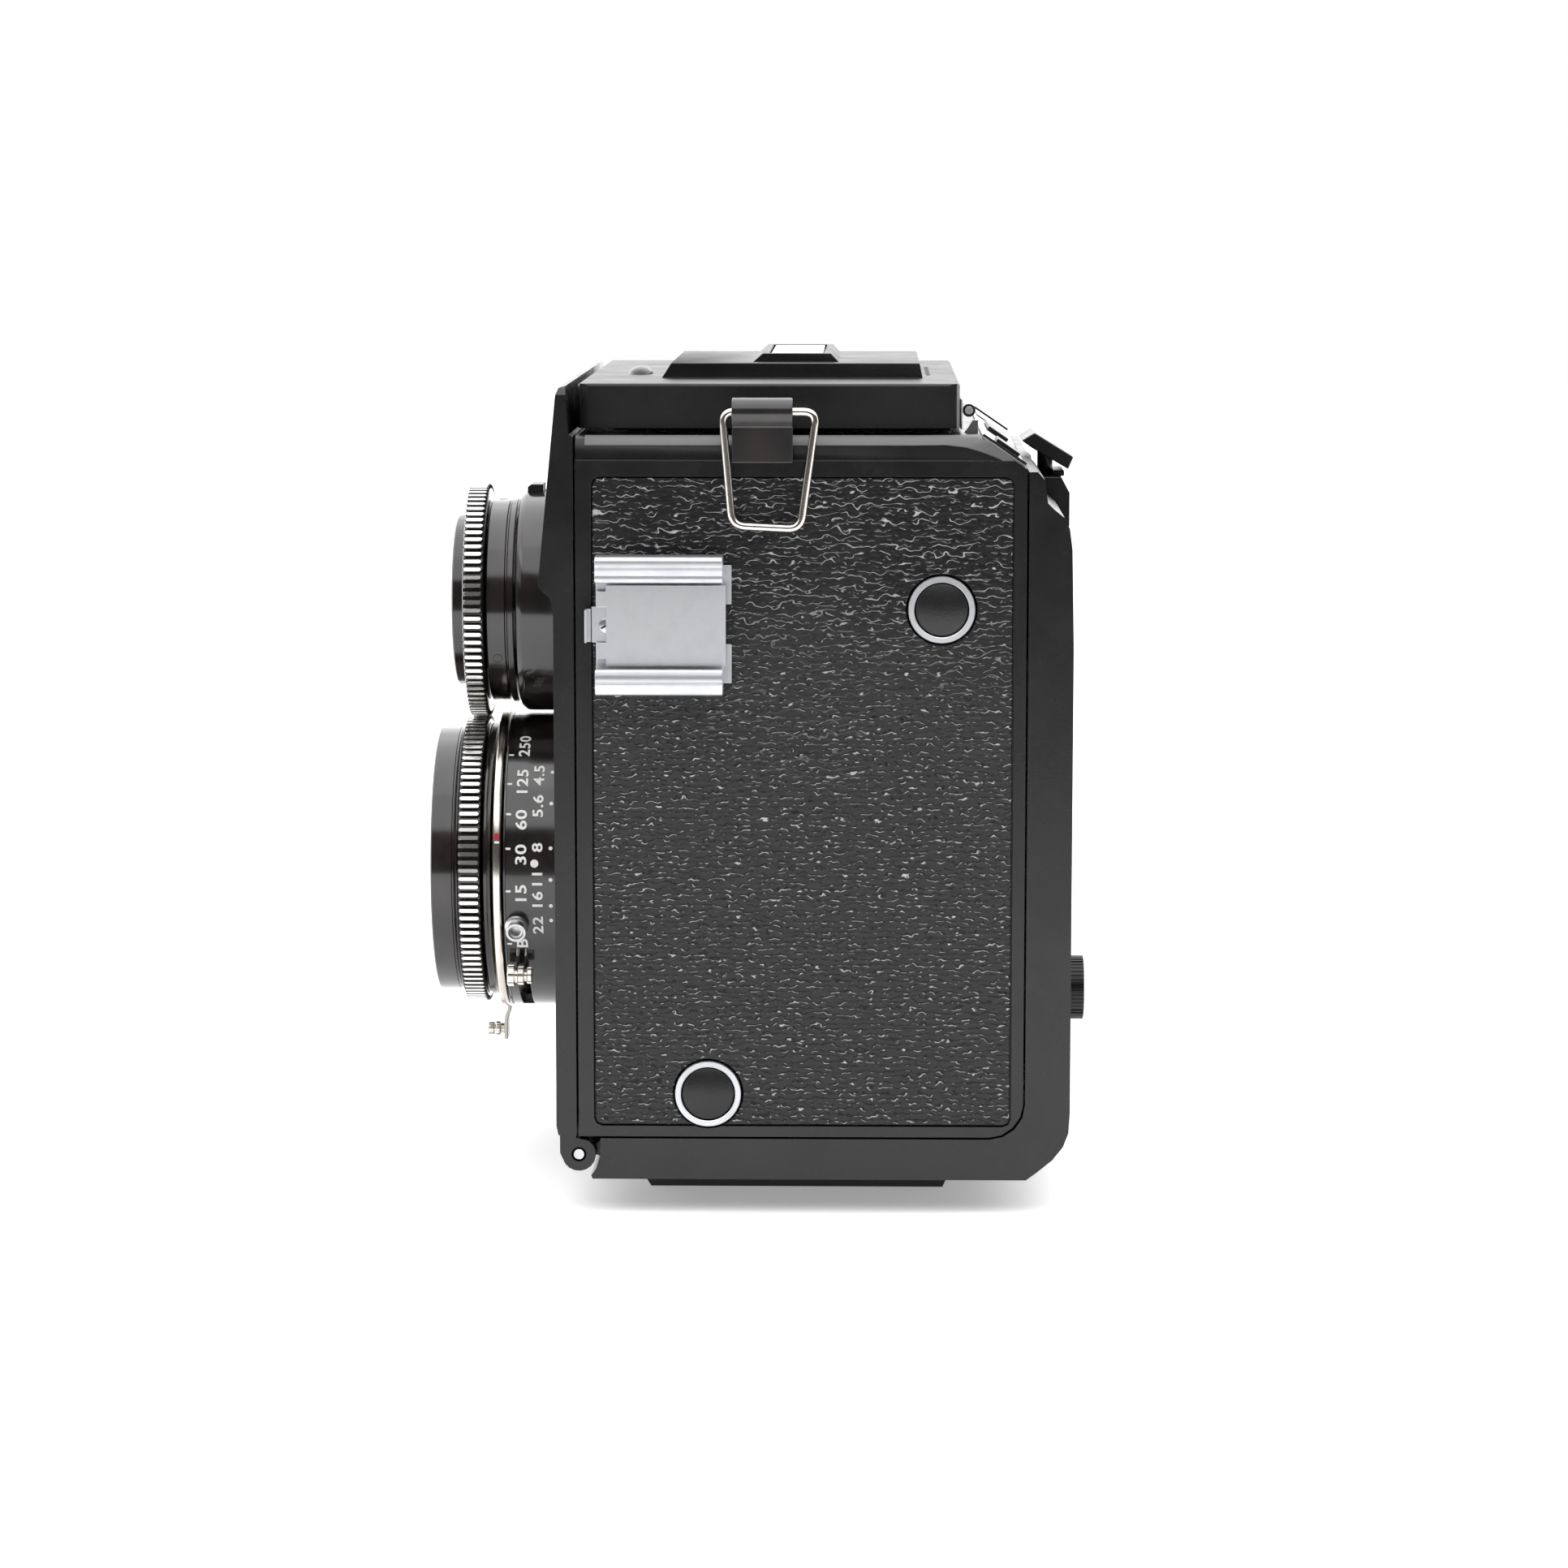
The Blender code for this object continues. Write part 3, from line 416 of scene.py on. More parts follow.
def refine(node, mat, bevel=0.2, sharp=32, segments=2, flat=1.5):
    """A copy of a CAD node with its flat triangles merged and its edges softly rounded."""
    bm = bmesh.new()
    bm.from_mesh(frame["nodes"][node].data)
    bmesh.ops.remove_doubles(bm, verts=bm.verts, dist=2e-6)
    bmesh.ops.dissolve_limit(bm, angle_limit=math.radians(flat), use_dissolve_boundaries=False,
                             verts=bm.verts, edges=bm.edges)
    mesh = bpy.data.meshes.new(node + "_fine")
    bm.to_mesh(mesh)
    bm.free()
    return settle(node + "_fine", mesh, mat, BODY_OF[node], node, bevel, sharp, segments)


# ------------------------------------------------------------------ focusing gears

GEAR_MODULE = 0.4


def spoke(turn):
    """The outward and the sideways direction at this turn, in radians, round a lens axis."""
    return (Vector((math.cos(turn), 0, math.sin(turn))),
            Vector((-math.sin(turn), 0, math.cos(turn))))


def tooth_ring(bm, hub, out, side, radius, wide, long):
    """One outline of a tooth: wide across, long along the axis, with round ends."""
    found = []
    for end, first in ((1, 0), (-1, 180)):
        for k in range(5):
            a = math.radians(first + 45 * k)
            y = end * (long - wide) + wide * math.sin(a)
            found.append(bm.verts.new(hub + out * radius + side * wide * math.cos(a)
                                      + Vector((0, y, 0))))
    return found


def fine_gear(name, node, teeth, centre, y0, y1, bore, phase):
    """A black ring whose teeth carry bright bare lands with round ends."""
    bm = bmesh.new()
    pitch = GEAR_MODULE / 2 * teeth
    root, top = pitch - 0.62, pitch + 0.02
    add_lathe(bm, [(bore, y0 + 0.15), (bore + 0.3, y0), (root - 0.25, y0), (root, y0 + 0.12),
                   (root, y1 - 0.12), (root - 0.25, y1), (bore, y1)], "Y", centre, 168)
    step = 2 * math.pi / teeth
    half = (y1 - y0) / 2 - 0.06
    hub = Vector((centre[0], (y0 + y1) / 2, centre[1]))
    wide = step * pitch * 0.5
    for i in range(teeth):
        out, side = spoke(phase + i * step)
        rows = [tooth_ring(bm, hub, out, side, radius, wide * share, half - inset)
                for radius, share, inset in ((root - 0.05, 0.80, 0.0), (top - 0.12, 0.66, 0.02),
                                             (top - 0.02, 0.54, 0.12), (top - 0.015, 0.47, 0.16),
                                             (top + 0.045, 0.42, 0.2))]
        # only the last step and the top of a tooth are bare metal
        for a, b, index in zip(rows, rows[1:], (0, 0, 0, 1)):
            bridge(bm, a, b, index)
        bm.faces.new(rows[-1]).material_index = 1
    return piece(name, bm, ["barrel_black", "gear_land"], BODY_OF[node], node, sharp=40)


def add_ticks(bm, centre, radius, y0, y1, count, half, rise):
    """Fine raised ticks round a rim."""
    hub = Vector((centre[0], 0, centre[1]))
    sunk = 0.05
    for i in range(count):
        out, side = spoke(2 * math.pi * i / count)
        low = [hub + out * (radius - sunk) + side * s + Vector((0, y, 0))
               for s, y in ((-half, y0), (half, y0), (half, y1), (-half, y1))]
        high = [p + out * (rise + sunk) for p in low]
        a = [bm.verts.new(p) for p in low]
        b = [bm.verts.new(p) for p in high]
        bm.faces.new(b)
        bridge(bm, a, b)


def grub(name, body, centre, radius, degrees, y):
    """A small slotted grub screw set in a round barrel."""
    bm = bmesh.new()
    size = 0.75
    add_lathe(bm, [(0, radius - 0.25), (size * 0.8, radius - 0.25), (size * 0.8, radius - 0.05),
                   (size, radius + 0.02), (size, radius - 0.4), (0, radius - 0.4)],
              "Z", (0, 0), 24, closed=False)
    add_box(bm, -size * 0.75, size * 0.75, -0.11, 0.11, radius - 0.24, radius - 0.2)
    # the screw's own +Z is turned on to the direction that leaves the barrel
    turn = math.pi / 2 - math.radians(degrees)
    move = Matrix.Translation((centre[0], y, centre[1])) @ Matrix.Rotation(turn, 4, "Y")
    piece(name, bm, "matt_black", body, move=move)


# ------------------------------------------------------------------ viewing lens

def viewing_lens():
    fine_gear("view_gear_fine", "view_gear", 90, VIEW_AXIS, -48.65, -45.5, 13.3,
              -math.pi / 2 + math.pi / 90)
    bm = bmesh.new()
    add_lathe(bm, [(10.7, -49.6), (11.6, -50.35), (12.5, -50.7), (12.85, -50.68), (13.1, -50.45),
                   (13.1, -48.9), (12.9, -48.7), (12.9, -45.7), (11.2, -45.7), (11.2, -48.5),
                   (10.7, -48.7)], "Y", VIEW_AXIS, 160)
    add_ticks(bm, VIEW_AXIS, 13.08, -50.35, -49.0, 132, 0.09, 0.035)
    piece("view_rim_fine", bm, "barrel_black", "view_focus", "view_rim", sharp=40)
    turned("view_sleeve_fine",
           [(11.0, -45.2), (15.5, -45.2), (15.7, -45.0), (15.7, -42.42), (15.55, -42.32),
            (15.2, -42.3), (15.2, -42.08), (15.7, -42.05), (15.9, -41.9), (15.9, -41.15),
            (15.75, -41.0), (12.2, -41.0), (12.2, -35.5), (11.0, -35.5)],
           "Y", VIEW_AXIS, "barrel_black", "view_carrier", "view_sleeve", 160, sharp=40)
    for index, degrees in enumerate((-29.6, 90.4, 210.4)):
        grub(f"view_grub_{index}", "view_carrier", VIEW_AXIS, 15.7, degrees, -43.6)
    turned("view_flange_fine",
           [(12.6, -40.2), (13.0, -40.68), (16.1, -40.7), (16.6, -40.5), (17.05, -39.9),
            (17.2, -39.5), (17.2, -33.5), (12.6, -33.5)],
           "Y", VIEW_AXIS, "barrel_black", "body", "view_flange", 160, sharp=30)
    bm = bmesh.new()
    add_prism(bm, [(-39.6, 103.2), (-37.2, 103.2), (-37.2, 104.8), (-39.0, 104.8), (-39.6, 104.4)],
              -3, 3)
    piece("view_flange_stop", bm, "body_plastic", "body", bevel=0.15)
    lens_piece("view_front_lens", "view_front_glass", VIEW_AXIS, 10.9, -48.4, 1.3, "view_focus")
    dark_well("view_well", VIEW_AXIS, 10.6, -46.2, -36.0, "view_carrier")


def lens_piece(name, node, axis, radius, front, bulge, body):
    """A coated glass with a round front face."""
    face = [(radius * k / 10, front - bulge * (1 - (k / 10) ** 2)) for k in range(11)]
    turned(name, face + [(radius, front + 1.6), (0, front + 1.9)], "Y", axis, "lens_glass", body,
           node, 96, closed=False, sharp=40)


def dark_well(name, axis, radius, y0, y1, body):
    """The blackened tube behind a front glass, stepped inwards and closed at the back."""
    steps, inwards, lip = 6, 0.35, 0.3
    profile = [(radius, y0)]
    for k in range(steps):
        at = y0 + (y1 - y0) * (k + 0.5) / steps
        reach = radius - inwards * k
        profile += [(reach, at), (reach - lip, at + 0.05)]
    profile += [(radius - 2.6, y1 - 0.4), (0, y1 - 0.9)]
    turned(name, profile, "Y", axis, "matt_black", body, (), 64, closed=False, sharp=25)


# ------------------------------------------------------------------ taking lens and shutter

HOUSING_RADIUS = 23.0
SCALE_RADIUS = HOUSING_RADIUS + 0.045
SPEED_MARK_RADIUS = 23.43
APERTURE_AT = -36.5


def polar(radius, degrees, y):
    """A point round the taking lens, from +X towards +Z."""
    turn = math.radians(degrees)
    return Vector((radius * math.cos(turn), y, TAKE_Z + radius * math.sin(turn)))


def taking_lens():
    fine_gear("take_gear_fine", "take_gear", 112, TAKE_AXIS, -49.35, -45.9, 19.0, math.pi / 2)
    thread = []
    for k in range(7):
        y = -53.2 + 0.36 * k
        thread += [(19.32, y), (19.08, y + 0.18)]
    # a shallow stepped cone leads in to the glass
    cone = [(19.0 - 1.25 * k - 0.12, -50.5 + 0.2 * k + (0.12 if k % 2 else 0) + 0.02)
            for k in range(6)]
    outside = [(19.4, -53.45), (19.6, -53.6), (20.4, -53.6), (20.65, -53.4), (20.65, -50.42),
               (20.5, -50.3), (20.5, -50.1), (21.25, -49.62), (21.25, -49.5), (18.7, -49.5),
               (18.7, -46.0), (10.2, -46.0), (10.2, -48.9), (11.6, -49.3)]
    turned("filter_rim_fine", outside + list(reversed(cone)) + list(reversed(thread)),
           "Y", TAKE_AXIS, "barrel_black", "take_focus", "filter_rim", 168, sharp=28)
    turned("take_sleeve_fine",
           [(10.2, -45.6), (21.2, -45.6), (21.5, -45.4), (21.5, -44.9), (21.2, -44.45),
            (18.0, -44.2), (11.4, -44.2), (11.4, -40.4), (10.2, -40.4)],
           "Y", TAKE_AXIS, "barrel_black", "take_carrier", "take_sleeve", 160, sharp=40)
    lens_piece("take_front_lens", "take_front_glass", TAKE_AXIS, 9.9, -48.7, 1.9, "take_focus")
    dark_well("take_well", TAKE_AXIS, 9.8, -46.2, -41.6, "take_carrier")
    rear = frame["nodes"]["take_rear_glass"].data.materials
    rear.clear()
    rear.append(MAT["lens_glass"])


# each mark: its number, the angle of the number and the angle of its line or dot
SPEEDS = (("250", 56.7, 51.4), ("125", 38.4, 37.6), ("60", 22.9, 25.1), ("30", 9.5, 11.8),
          ("15", -5.6, -4.4), ("B", -26.3, -26.4))
STOPS = (("4.5", 41.7, 42.9), ("5.6", 28.4, 29.4), ("8", 12.3, 12.0), ("11", 0.3, 0.0),
         ("16", -8.1, -10.1), ("22", -18.1, -16.1))


def digits(text):
    """A flat mesh of this number in the default font, one em high."""
    curve = bpy.data.curves.new("digits", "FONT")
    curve.body = text
    curve.align_x = "CENTER"
    curve.size = 1.0
    curve.space_character = 1.08
    curve.offset = 0.022
    curve.resolution_u = 4
    holder = bpy.data.objects.new("digits", curve)
    bpy.context.scene.collection.objects.link(holder)
    graph = bpy.context.evaluated_depsgraph_get()
    mesh = bpy.data.meshes.new_from_object(holder.evaluated_get(graph))
    bpy.data.objects.remove(holder)
    return mesh


def scale_numbers():
    """Plain numbers wrapped round the shutter housing, reading upwards, tops to the front."""
    cap_height, squat = 0.70, 0.76
    bm = bmesh.new()
    for text, degrees, y, height in ([(t, a, -39.6, 2.15) for t, a, _ in SPEEDS]
                                     + [(t, a, -37.1, 2.0) for t, a, _ in STOPS]):
        mesh = digits(text)
        part = bmesh.new()
        part.from_mesh(mesh)
        tall = height / cap_height
        for vert in part.verts:
            across, up = vert.co.x * tall, vert.co.y * tall * squat
            turn = math.radians(degrees) + across / HOUSING_RADIUS
            vert.co = Vector((SCALE_RADIUS * math.cos(turn), y + height * squat / 2 - up,
                              TAKE_Z + SCALE_RADIUS * math.sin(turn)))
        part.to_mesh(mesh)
        part.free()
        bm.from_mesh(mesh)
        bpy.data.meshes.remove(mesh)
    for _, _, degrees in SPEEDS:
        add_patch(bm, degrees, -41.9, -41.15, 0.17, SCALE_RADIUS)
    for _, _, degrees in STOPS:
        add_dot(bm, degrees, -35.05, 0.30)
    add_dot(bm, 6.2, -37.5, 0.62)
    settle("scale_numbers", mesh_of("scale_numbers", bm), "white_paint", "body")


def add_patch(bm, degrees, y0, y1, half, radius):
    """A small flat mark on a round surface."""
    span = math.degrees(half / radius)
    bm.faces.new([bm.verts.new(polar(radius, degrees + s * span, y))
                  for s, y in ((-1, y0), (1, y0), (1, y1), (-1, y1))])


def add_dot(bm, degrees, y, size):
    """A round dot on the shutter housing."""
    rim = [2 * math.pi * k / 20 for k in range(20)]
    bm.faces.new([bm.verts.new(polar(SCALE_RADIUS,
                                     degrees + math.degrees(size * math.cos(a) / SCALE_RADIUS),
                                     y + size * math.sin(a))) for a in rim])


def knurled(bm, centre, y0, y1, radius, count, depth, axis="Y"):
    """A short knurled drum with chamfered ends."""
    chamfer, shrink = 0.14, 0.88
    points = []
    for k in range(count):
        for half, r in ((0, radius), (0.3, radius), (0.5, radius - depth), (0.8, radius - depth)):
            a = 2 * math.pi * (k + half) / count
            points.append((math.cos(a) * r, math.sin(a) * r))
    add_skin(bm, [[bm.verts.new(spot((centre[0] + x * scale, centre[1] + z * scale), y, axis))
                   for x, z in points]
                  for y, scale in ((y0, shrink), (y0 + chamfer, 1.0), (y1 - chamfer, 1.0),
                                   (y1, shrink))])


def speed_ring():
    bm = bmesh.new()
    add_lathe(bm, [(16.6, -43.8), (23.1, -43.9), (23.35, -43.75), (23.4, -43.6), (23.4, -42.85),
                   (23.3, -42.65), (23.1, -42.6), (16.6, -42.6)], "Y", TAKE_AXIS, 168)
    arm = [(-43.2, -22.4), (-42.7, -22.4), (-42.7, -23.6), (-43.1, -24.6), (-43.2, -25.4),
           (-43.2, -28.1), (-43.75, -28.1), (-43.75, -25.2), (-43.6, -24.2), (-43.2, -23.4)]
    knob = (3.2, TAKE_Z - 26.7)
    knurled(bm, knob, -44.45, -43.7, 0.85, 18, 0.06)
    knurled(bm, knob, -45.2, -44.45, 1.12, 20, 0.1)
    knurled(bm, knob, -46.4, -45.35, 1.0, 20, 0.1)
    add_prism(bm, circle(*knob, 0.7, 24), -45.5, -45.1, "Y")
    piece("speed_ring_fine", bm, "nickel", "speed", "speed_ring", sharp=30)
    bm = bmesh.new()
    add_prism(bm, [(y, TAKE_Z + z) for y, z in arm], 1.3, 5.1)
    piece("speed_arm", bm, "dull_nickel", "speed", bevel=0.1)
    for name, mat, degrees, half in (("speed_index", "red_paint", 16.2, 0.48),
                                     ("speed_index_line", "white_paint", 14.1, 0.16)):
        bm = bmesh.new()
        add_patch(bm, degrees, -43.6, -42.85, half, SPEED_MARK_RADIUS)
        settle(name, mesh_of(name, bm), mat, "speed")


def aperture_lever():
    """Three knurled drums on one stem, at the end of a flat arm."""
    at = polar(25.5, APERTURE_AT, 0)
    bm = bmesh.new()
    centre = (at.x, at.z)
    knurled(bm, centre, -41.9, -40.75, 1.65, 26, 0.10)
    add_prism(bm, circle(*centre, 1.15, 24), -40.8, -40.3, "Y")
    knurled(bm, centre, -40.35, -39.3, 1.45, 24, 0.08)
    add_prism(bm, circle(*centre, 0.9, 24), -39.4, -38.9, "Y")
    knurled(bm, centre, -38.95, -38.1, 1.25, 22, 0.10)
    low, high = polar(17, APERTURE_AT, 0), polar(25.4, APERTURE_AT, 0)
    turn = math.radians(-APERTURE_AT)
    side = Vector((math.sin(turn), 0, math.cos(turn))) * 1.2
    strip = [low - side, high - side, high + side, low + side]
    add_prism(bm, [(p.x, p.z) for p in strip], -40.2, -39.4, "Y")
    piece("aperture_lever_fine", bm, "nickel", "aperture", "aperture_lever", sharp=30)


def shutter():
    refine("shutter_housing", "barrel_black", 0.25, 30, 3)
    turned("housing_lip",
           [(22.2, -42.25), (23.1, -42.25), (23.2, -42.0), (23.05, -41.95), (22.2, -42.0)],
           "Y", TAKE_AXIS, "barrel_black", "body", (), 160, sharp=40)
    scale_numbers()
    speed_ring()
    for name in ("cocking_lever", "release_lever"):
        refine(name, "nickel", 0.12, 30, 2)
    aperture_lever()
    # the flash socket is turned upright, then swung out of the side of the housing
    move = Matrix.Translation((0, -40.3, TAKE_Z)) @ Matrix.Rotation(math.radians(108), 4, "Y")
    turned("pc_socket_fine",
           [(0, 23.1), (1.75, 23.1), (1.8, 23.3), (1.8, 23.7), (1.6, 23.9), (1.25, 24.0),
            (1.2, 24.9), (1.45, 25.2), (1.5, 25.7), (1.15, 25.7), (1.0, 25.4), (0.75, 25.3),
            (0.7, 24.3), (0, 24.3)],
           "Z", (0, 0), "steel", "body", "pc_socket", 48, closed=False, sharp=30, move=move)
    for index in (1, 2):
        refine(f"shutter_leaf_{index}", "steel", 0.0)


# ------------------------------------------------------------------ side fittings

def shoe():
    """The satin shoe: fluted rails folded over a channel, the leaf spring and its stop."""
    lower = [(50.75, 81.2), (51.05, 80.9), (51.05, 80.5), (51.2, 80.3), (51.02, 79.3),
             (51.2, 79.1), (51.05, 78.1), (50.9, 77.6), (50.6, 77.4)]
    upper = [(50.3, 97.6), (50.8, 97.45), (51.1, 97.1), (51.2, 96.75), (51.02, 95.9),
             (51.2, 95.7), (51.02, 94.7), (51.2, 94.5), (51.1, 93.9), (50.9, 93.8)]
    back = [(47.1, 77.4), (47.1, 97.6)]
    channel = [(50.2, 93.8), (50.2, 96.5), (48.1, 96.5), (48.1, 78.5), (50.2, 78.5), (50.2, 81.2)]
    bm = bmesh.new()
    add_prism(bm, back + upper + channel + lower, -26.4, -7.9, "Y")
    piece("shoe_fine", bm, "alu_satin", "body", "shoe_base", bevel=0.16, sharp=50)
    leaf = [(-24.87, 81.5), (-7.5, 81.5), (-7.5, 93.3), (-24.87, 93.3), (-24.87, 92.4),
            (-26.28, 92.4), (-26.28, 90.1), (-24.87, 90.1), (-24.87, 84.9), (-26.28, 84.9),
            (-26.28, 82.6), (-24.87, 82.6)]
    tongue = [(-27.0, 84.9), (-24.5, 84.9), (-24.5, 90.1), (-27.0, 90.1)]
    stop = [(48.15, -27.1), (48.15, -27.93), (50.2, -27.93), (50.2, -27.6), (48.6, -27.6),
            (48.6, -27.1)]
    bm = bmesh.new()
    add_prism(bm, leaf, 48.72, 49.05)
    add_prism(bm, tongue, 48.15, 48.4)
    add_prism(bm, stop, 85.0, 89.8, "Z")
    piece("shoe_spring_fine", bm, "alu_bright", "body", "shoe_spring", bevel=0.07)
    screw_y, screw_z = -24.8, 87.4
    turned("shoe_screw_fine", [(0, 48.3), (1.12, 48.3), (1.12, 48.52), (0.95, 48.62),
                               (0.16, 48.66), (0, 48.66)],
           "X", (screw_y, screw_z), "steel", "body", "shoe_screw", 40, closed=False, sharp=30)
    # a thin black sheet on the screw head is painted shade standing in for the slot's recess
    cos, sin = math.cos(0.5), math.sin(0.5)
    bm = bmesh.new()
    add_prism(bm, [(y * cos - z * sin + screw_y, y * sin + z * cos + screw_z)
                   for y, z in ((-0.9, -0.13), (0.9, -0.13), (0.9, 0.13), (-0.9, 0.13))],
              48.6, 48.68)
    piece("shoe_screw_slot", bm, "matt_black", "body")
    bm = bmesh.new()
    for outer, inner, notch in ((78.9, 84.6, 84.0), (96.1, 90.4, 91.0)):
        add_prism(bm, [(-9.4, outer), (-6.7, outer), (-6.7, inner), (-7.9, inner), (-7.9, notch),
                       (-9.4, notch)], 47.15, 47.6)
    piece("shoe_tabs", bm, "alu_satin", "body", bevel=0.06)


def add_wire(bm, path, radius, sides=20):
    """A closed loop of round wire along these points, which lie in a plane across X."""
    count = len(path)
    across = Vector((1, 0, 0))
    turns = [2 * math.pi * k / sides for k in range(sides)]
    rows = []
    for i, here in enumerate(path):
        along = (path[(i + 1) % count] - path[i - 1]).normalized()
        flat = along.cross(across).normalized()
        rows.append([bm.verts.new(here + across * radius * math.cos(a)
                                  + flat * radius * math.sin(a)) for a in turns])
    for i in range(count):
        bridge(bm, rows[i], rows[(i + 1) % count])


def ring_path(x):
    """The strap ring's four straight sides with rounded bends between them."""
    corners = [Vector((-8.0, 118.3)), Vector((5.6, 118.3)), Vector((3.3, 101.4)),
               Vector((-6.6, 101.9))]
    bend = 1.9
    path = []
    for i, here in enumerate(corners):
        back = (corners[i - 1] - here).normalized()
        ahead = (corners[(i + 1) % 4] - here).normalized()
        a, b = here + back * bend, here + ahead * bend
        for k in range(9):
            t = k / 8
            p = a * (1 - t) ** 2 + here * 2 * t * (1 - t) + b * t * t
            path.append(Vector((x, p.x, p.y)))
    return path


def strap_fittings():
    """The wire rings, and the lugs that wrap round their top bars."""
    bar_x, bar_z, outer = 48.2, 118.3, 2.05
    wrap = [(bar_x + outer * math.cos(math.radians(a)), bar_z + outer * math.sin(math.radians(a)))
            for a in range(-40, 221, 13)]
    lug = ([(48.6, 110.95), (48.75, 116.2)] + wrap
           + [(47.4, 112.5), (46.75, 112.5), (46.75, 111.5), (47.3, 111.3), (47.35, 110.95)])
    for word, side in SIDES:
        bm = bmesh.new()
        add_wire(bm, ring_path(side * bar_x), 0.6)
        piece(f"ring_{word}_fine", bm, "nickel", f"strap_ring_{word}", f"ring_{word}", sharp=60)
        bm = bmesh.new()
        add_prism(bm, [(side * x, z) for x, z in lug], -6.6, 2.2, "Y")
        piece(f"lug_{word}_fine", bm, "lug_black", "body", f"lug_{word}", bevel=0.3, sharp=40)


def side_buttons():
    for word, centre in (("upper", UPPER_SPOOL), ("lower", LOWER_SPOOL)):
        turned(f"{word}_ring_fine", [(4.0, 44.5), (4.88, 44.5), (4.9, 47.1), (4.8, 47.28),
                                     (4.1, 47.3), (4.0, 47.2)],
               "X", centre, "alu_bright", f"{word}_pin", f"{word}_button_ring", sharp=40)
        turned(f"{word}_button_fine", [(0, 29.6), (2.2, 29.6), (2.2, 43.2), (3.8, 43.2),
                                       (3.8, 46.95), (3.6, 47.1), (0, 47.1)],
               "X", centre, "grained_plastic", f"{word}_pin", f"{word}_button", 96, closed=False,
               sharp=40)
    refine("left_button", "alu_satin", 0.25)


# ------------------------------------------------------------------ body, door, hood

def coverings():
    for word, _ in SIDES:
        refine(f"leather_{word}", "leatherette", 0.22, 40, 3)


def advance_knob():
    """The knurled drum with its shaft, and the satin cap with turned grooves."""
    bm = bmesh.new()
    knurled(bm, UPPER_SPOOL, -55.2, -49.0, 11.3, 60, 0.35, "X")
    add_lathe(bm, [(0, -55.6), (8.2, -55.6), (8.6, -55.7), (9.6, -56.1), (9.9, -56.1),
                   (10.4, -55.9), (10.7, -55.2), (10.9, -54.6), (10.9, -48.6), (10.6, -48.4),
                   (3.0, -48.4), (3.0, -37), (2.3, -37), (2.3, -29.6), (0, -29.6)], "X",
              UPPER_SPOOL, closed=False)
    piece("advance_knob_fine", bm, "body_plastic", "winder", "advance_knob", sharp=35)
    face, floor = -56.05, -55.88
    grooves = [(r + d, x) for r in (1.6, 3.4, 5.2)
               for d, x in ((0, face), (0.12, floor), (0.32, floor), (0.44, face))]
    turned("advance_knob_cap", [(0, face)] + grooves + [(6.9, face), (7.2, -55.9), (7.2, -55.5),
                                                        (0, -55.5)],
           "X", UPPER_SPOOL, "alu_satin", "winder", (), 96, closed=False, sharp=40)


def door_details():
    refine("back_door", "body_plastic", 0.55, 30, 3)
    refine("latch_block", "body_plastic", 0.2)
    refine("door_latch", "body_plastic", 0.35, 30, 3)
    refine("tripod_socket", "steel", 0.15)
    refine("door_hinge_pin", "alu_bright", 0.1)
    refine("pressure_plate", "steel", 0.15)
    # the window's knob, shaft and blade are one piece
    bm = bmesh.new()
    centre = (0, 25.6)
    knurled(bm, centre, 43.5, 47.1, 5.0, 44, 0.2)
    add_lathe(bm, [(0, 46.9), (4.2, 46.9), (4.4, 47.05), (0, 47.1)], "Y", centre, 64, closed=False)
    add_lathe(bm, [(0, 40.2), (1.5, 40.2), (1.5, 43.6), (0, 43.6)], "Y", centre, 32, closed=False)
    blade = [(1.0, 22.9), (1.0, 28.3), (-13, 31.6), (-16.9, 30.2), (-18.8, 25.6), (-16.9, 21.0),
             (-13, 19.6)]
    add_prism(bm, blade, 40.3, 40.9, "Y")
    piece("window_knob_fine", bm, "body_plastic", "window_cover", "window_knob", sharp=35)
    bm = bmesh.new()
    add_box(bm, -5.5, 5.5, 41.4, 43.2, 106.3, 107.2)
    piece("latch_cap", bm, "body_plastic", "door", bevel=0.2)


def slope_details():
    """The plates let into the sloping rear shoulder, and the catch that slides on them."""
    base = Vector((32.7, 112.35))
    along = Vector((6.9, -4.7)).normalized()
    out = Vector((4.7, 6.9)).normalized()

    def add_slab(bm, down0, down1, out0, out1, *spans):
        """Slabs on the slope, given down it, out from it and across X."""
        outline = [tuple(base + along * a + out * d) for a, d in
                   ((down0, out0), (down1, out0), (down1, out1), (down0, out1))]
        for x0, x1 in spans:
            add_prism(bm, outline, x0, x1)

    bm = bmesh.new()
    add_slab(bm, -3.8, 3.6, 0.05, 0.3, (-44.6, 44.6))
    add_slab(bm, -3.9, 3.8, 0.02, 0.2, (45.3, 45.5), (-45.5, -45.3))
    piece("slope_plate", bm, "steel", "body", bevel=0.06)
    bm = bmesh.new()
    add_slab(bm, -3.9, 3.7, 0.02, 0.6, (44.8, 45.2), (-45.2, -44.8))
    piece("slope_rim", bm, "matt_black", "body")
    bm = bmesh.new()
    add_slab(bm, -3.2, -0.6, 0.3, 0.5, (-30, -18))
    piece("slope_window", bm, "barrel_black", "body", bevel=0.1)
    bm = bmesh.new()
    add_slab(bm, -1.6, 2.4, 0.32, 1.05, (33, 41))
    piece("slope_stop", bm, "body_plastic", "body", bevel=0.15)
    bm = bmesh.new()
    add_slab(bm, -2.2, 1.4, 0.42, 1.0, (-9, 13))
    piece("hood_catch_fine", bm, "body_plastic", "catch", "hood_catch", bevel=0.15)


